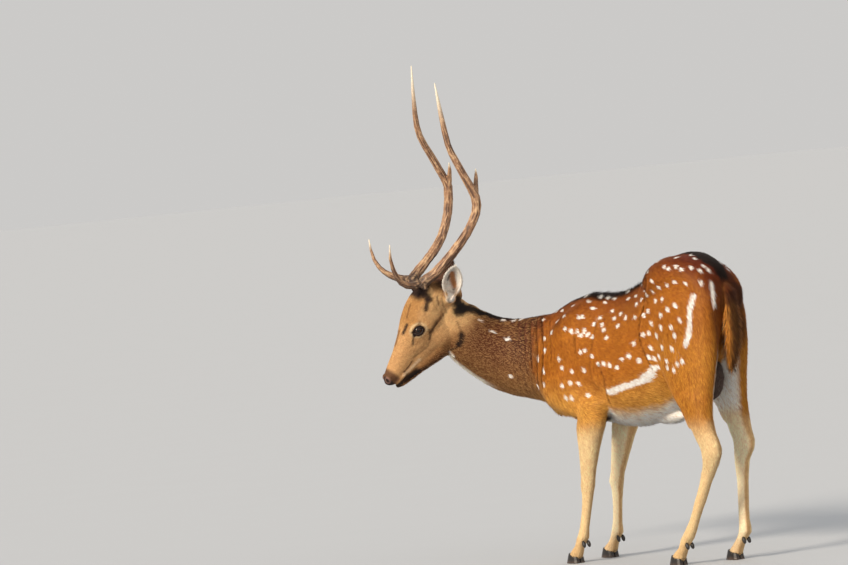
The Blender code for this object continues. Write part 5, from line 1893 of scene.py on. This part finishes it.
# Living eye: near-black brown iris behind a wet clear surface, so it is mostly one sharp highlight
def eyeMaterial():
    material, tree, shader = newMaterial("wetEye")
    gaze = addNode(tree, "Attribute", attribute_name="gaze").outputs["Vector"]
    parts = addNode(tree, "SeparateXYZ", {"Vector": gaze})
    x, y = parts.outputs["X"], parts.outputs["Y"]
    narrow = addNode(tree, "Math", {0: x, 1: eyes["pupilWide"]}, operation="MULTIPLY")
    streaks = addNode(tree, "TexNoise", {"Vector": gaze, "Scale": eyes["streaks"], "Detail": 4.0})
    streaks = streaks.outputs["Fac"]
    tone = {key: opaque(code) for key, code in eyeHex.items()}
    mixed = {0: streaks, 6: tone["iris"], 7: tone["irisEdge"]}
    colour = addNode(tree, "Mix", mixed, data_type="RGBA").outputs[2]
    # rings from the iris outwards, and last the pupil over them
    for key, across in (("irisEdge", x), ("white", x), ("pupil", narrow.outputs["Value"])):
        flat = addNode(tree, "CombineXYZ", {"X": across, "Y": y}).outputs["Vector"]
        reach = addNode(tree, "VectorMath", {0: flat}, operation="LENGTH").outputs["Value"]
        start, full = eyes[key]
        amount = addNode(tree, "MapRange", {"Value": reach, "From Min": start, "From Max": full})
        inner, outer = (tone[key], colour) if key == "pupil" else (colour, tone[key])
        mixed = {0: amount.outputs["Result"], 6: inner, 7: outer}
        colour = addNode(tree, "Mix", mixed, data_type="RGBA").outputs[2]
    low, high = eyes["rough"]
    wet = addNode(tree, "MapRange", {"Value": streaks, "To Min": low, "To Max": high})
    setSockets(tree, shader, {
        "Base Color": colour,
        "Roughness": wet.outputs["Result"],
        "IOR": eyes["ior"],
        "Specular IOR Level": eyes["specular"],
        "Coat Weight": eyes["coat"][0],
        "Coat Roughness": eyes["coat"][1],
    })
    return material


# Bare lid skin: dark, moist and finely creased
def rimMaterial():
    material, tree, shader = newMaterial("moistLidSkin")
    place = addNode(tree, "TexCoord").outputs["Object"]
    scale = perMetre(rims["creaseMm"])
    creased = addNode(tree, "TexNoise", {"Vector": place, "Scale": scale, "Detail": 3.0})
    creased = creased.outputs["Fac"]
    tones = {0: creased, 6: opaque(eyeHex["lidDark"]), 7: opaque(eyeHex["lidPale"])}
    low, high = rims["rough"]
    rough = addNode(tree, "MapRange", {"Value": creased, "To Min": low, "To Max": high})
    setSockets(tree, shader, {
        "Base Color": addNode(tree, "Mix", tones, data_type="RGBA").outputs[2],
        "Roughness": rough.outputs["Result"],
    })
    return material


def buildEye(name, side, wet):
    centre, out, longWay, highWay = eyeFrame(side)
    bpy.ops.object.select_all(action="DESELECT")
    bpy.ops.mesh.primitive_uv_sphere_add(
        segments=eyes["segments"], ring_count=eyes["rings"], radius=1.0
    )
    ball = bpy.context.active_object
    ball.name = "eye" + name.capitalize()
    points = readPoints(ball.data)
    off = np.degrees(np.arccos(np.clip(points[:, 2], -1, 1)))
    bulge = eyes["cornea"] * np.clip(1 - (off / eyes["corneaDeg"]) ** 2, 0, 1) ** 1.5
    addVector(ball.data, "gaze", points)
    axes = np.array([longWay, highWay, out])
    placed = (points * (eyePlaces["radius"] + bulge)[:, None]) @ axes + np.array(centre)
    writePoints(ball.data, placed @ headTurn.T + headAt)
    if np.linalg.det(axes) < 0:
        ball.data.flip_normals()
    finishPiece(ball, wet, "eye", "eye_" + name)


# The rim: a slim roll of skin lying on the eyeball along the lids' edge
def addRim(shape, side):
    centre = eyeFrame(side)[0]
    wide, high = rims["oval"]
    rings = []
    for k in range(rims["steps"]):
        angle = 2 * math.pi * k / rims["steps"]
        here = lidPoint(side, angle)
        ahead = (lidPoint(side, angle + 0.05) - here).normalized()
        away = (here - centre).normalized()
        across = ahead.cross(away).normalized()
        ring = []
        for j in range(rims["sides"]):
            turn = 2 * math.pi * j / rims["sides"]
            roll = across * math.cos(turn) * wide + away * math.sin(turn) * high
            place = here + away * rims["above"] + roll * rims["half"]
            ring.append(shape.verts.new(headMatrix @ place))
        rings.append(ring)
    for a, b in zip(rings, rings[1:] + rings[:1]):
        for j in range(rims["sides"]):
            shape.faces.new((a[j], a[j - 1], b[j - 1], b[j]))


# Lashes along the upper lid: three-sided spikes with one bend
def addLashes(shape, side):
    centre, out, longWay, highWay = eyeFrame(side)
    draws = np.random.default_rng(60 + side)
    upper = 1 if highWay.z > 0 else -1
    first, cover = lashes["spread"]
    least, more = lashes["vary"]
    for k in range(lashes["count"]):
        angle = math.pi * (first + cover * k / (lashes["count"] - 1)) * upper
        root = lidPoint(side, angle)
        away = (root - centre).normalized()
        upward = (highWay * upper * lashes["forward"] + away).normalized()
        reach = lashes["long"] * (least + more * draws.random())
        flat = longWay * lashes["half"]
        foot = [root + flat, root - flat, root + away * lashes["thick"]]
        middle = [p + upward * reach * 0.5 - Vector((0, 0, lashes["droop"])) for p in foot]
        corners = [shape.verts.new(headMatrix @ p) for p in foot]
        mids = [shape.verts.new(headMatrix @ p) for p in middle]
        tip = shape.verts.new(headMatrix @ (root + upward * reach))
        for j in range(3):
            shape.faces.new((corners[j], corners[j - 1], mids[j - 1], mids[j]))
            shape.faces.new((mids[j], mids[j - 1], tip))
        shape.faces.new(corners)


def buildRim(name, side, lidSkin):
    shape = bmesh.new()
    addRim(shape, side)
    addLashes(shape, side)
    bmesh.ops.recalc_face_normals(shape, faces=shape.faces)
    mesh = bpy.data.meshes.new("eyeRim" + name.capitalize())
    shape.to_mesh(mesh)
    shape.free()
    finishPiece(addObject(mesh.name, mesh), lidSkin, "skin")


wetEye, lidSkin = eyeMaterial(), rimMaterial()
for name, side in sides.items():
    buildEye(name, side, wetEye)
    buildRim(name, side, lidSkin)
print("eyes set")


# Floor, light and the last lines

stage = {
    "floor": "#b8bcc1",
    "reach": 60.0,
    "floorRough": (0.75, 0.9),
    "floorPatches": 3.0,
    "sky": 0.60,
    "skyTint": (1.0, 0.985, 0.965, 1.0),
}
# Lamps: strength, the way they stand as seen by the camera (right, back) and up, spread in degrees,
# and tint
lamps = {
    "key": (3.25, (-0.72, 0.70, 0.46), 14.0, "#fff0dc"),
    "fill": (0.8, (0.0, 1.0, 0.15), 110.0, "#fff6ea"),
    "top": (0.2, (0.0, -0.45, 1.0), 40.0, "#ffffff"),
}


def addStage():
    bpy.ops.object.select_all(action="DESELECT")
    bpy.ops.mesh.primitive_plane_add(size=2 * stage["reach"], location=(0.0, 0.0, 0.0))
    floor = bpy.context.active_object
    floor.name = "floor"
    material, tree, shader = newMaterial("paintedFloor")
    place = addNode(tree, "TexCoord").outputs["Object"]
    faint = addNode(
        tree, "TexNoise", {"Vector": place, "Scale": stage["floorPatches"], "Detail": 3.0}
    )
    low, high = stage["floorRough"]
    rough = {"Value": faint.outputs["Fac"], "To Min": low, "To Max": high}
    setSockets(tree, shader, {
        "Base Color": opaque(stage["floor"]),
        "Roughness": addNode(tree, "MapRange", rough).outputs["Result"],
    })
    floor.data.materials.append(material)


# A soft even room, as bright as the lit floor, so that no horizon shows
def addRoom():
    world = bpy.data.worlds.new("softRoom")
    bpy.context.scene.world = world
    world.use_nodes = True
    background = {"Color": stage["skyTint"], "Strength": stage["sky"]}
    setSockets(world.node_tree, world.node_tree.nodes["Background"], background)


def addLamps():
    for name, (strength, (right, back, up), spreadDeg, tint) in lamps.items():
        data = bpy.data.lights.new(name + "Light", "SUN")
        data.energy = strength
        data.angle = math.radians(spreadDeg)
        data.color = toLinear(tint)
        lamp = addObject(name + "Light", data)
        offset = viewRight * right + viewBack * back + Vector((0, 0, up))
        lamp.location = offset * 6
        lamp.rotation_mode = "QUATERNION"
        lamp.rotation_quaternion = offset.to_track_quat("Z", "Y")


addRoom()
addLamps()
addStage()
bpy.context.scene.view_settings.view_transform = "Standard"
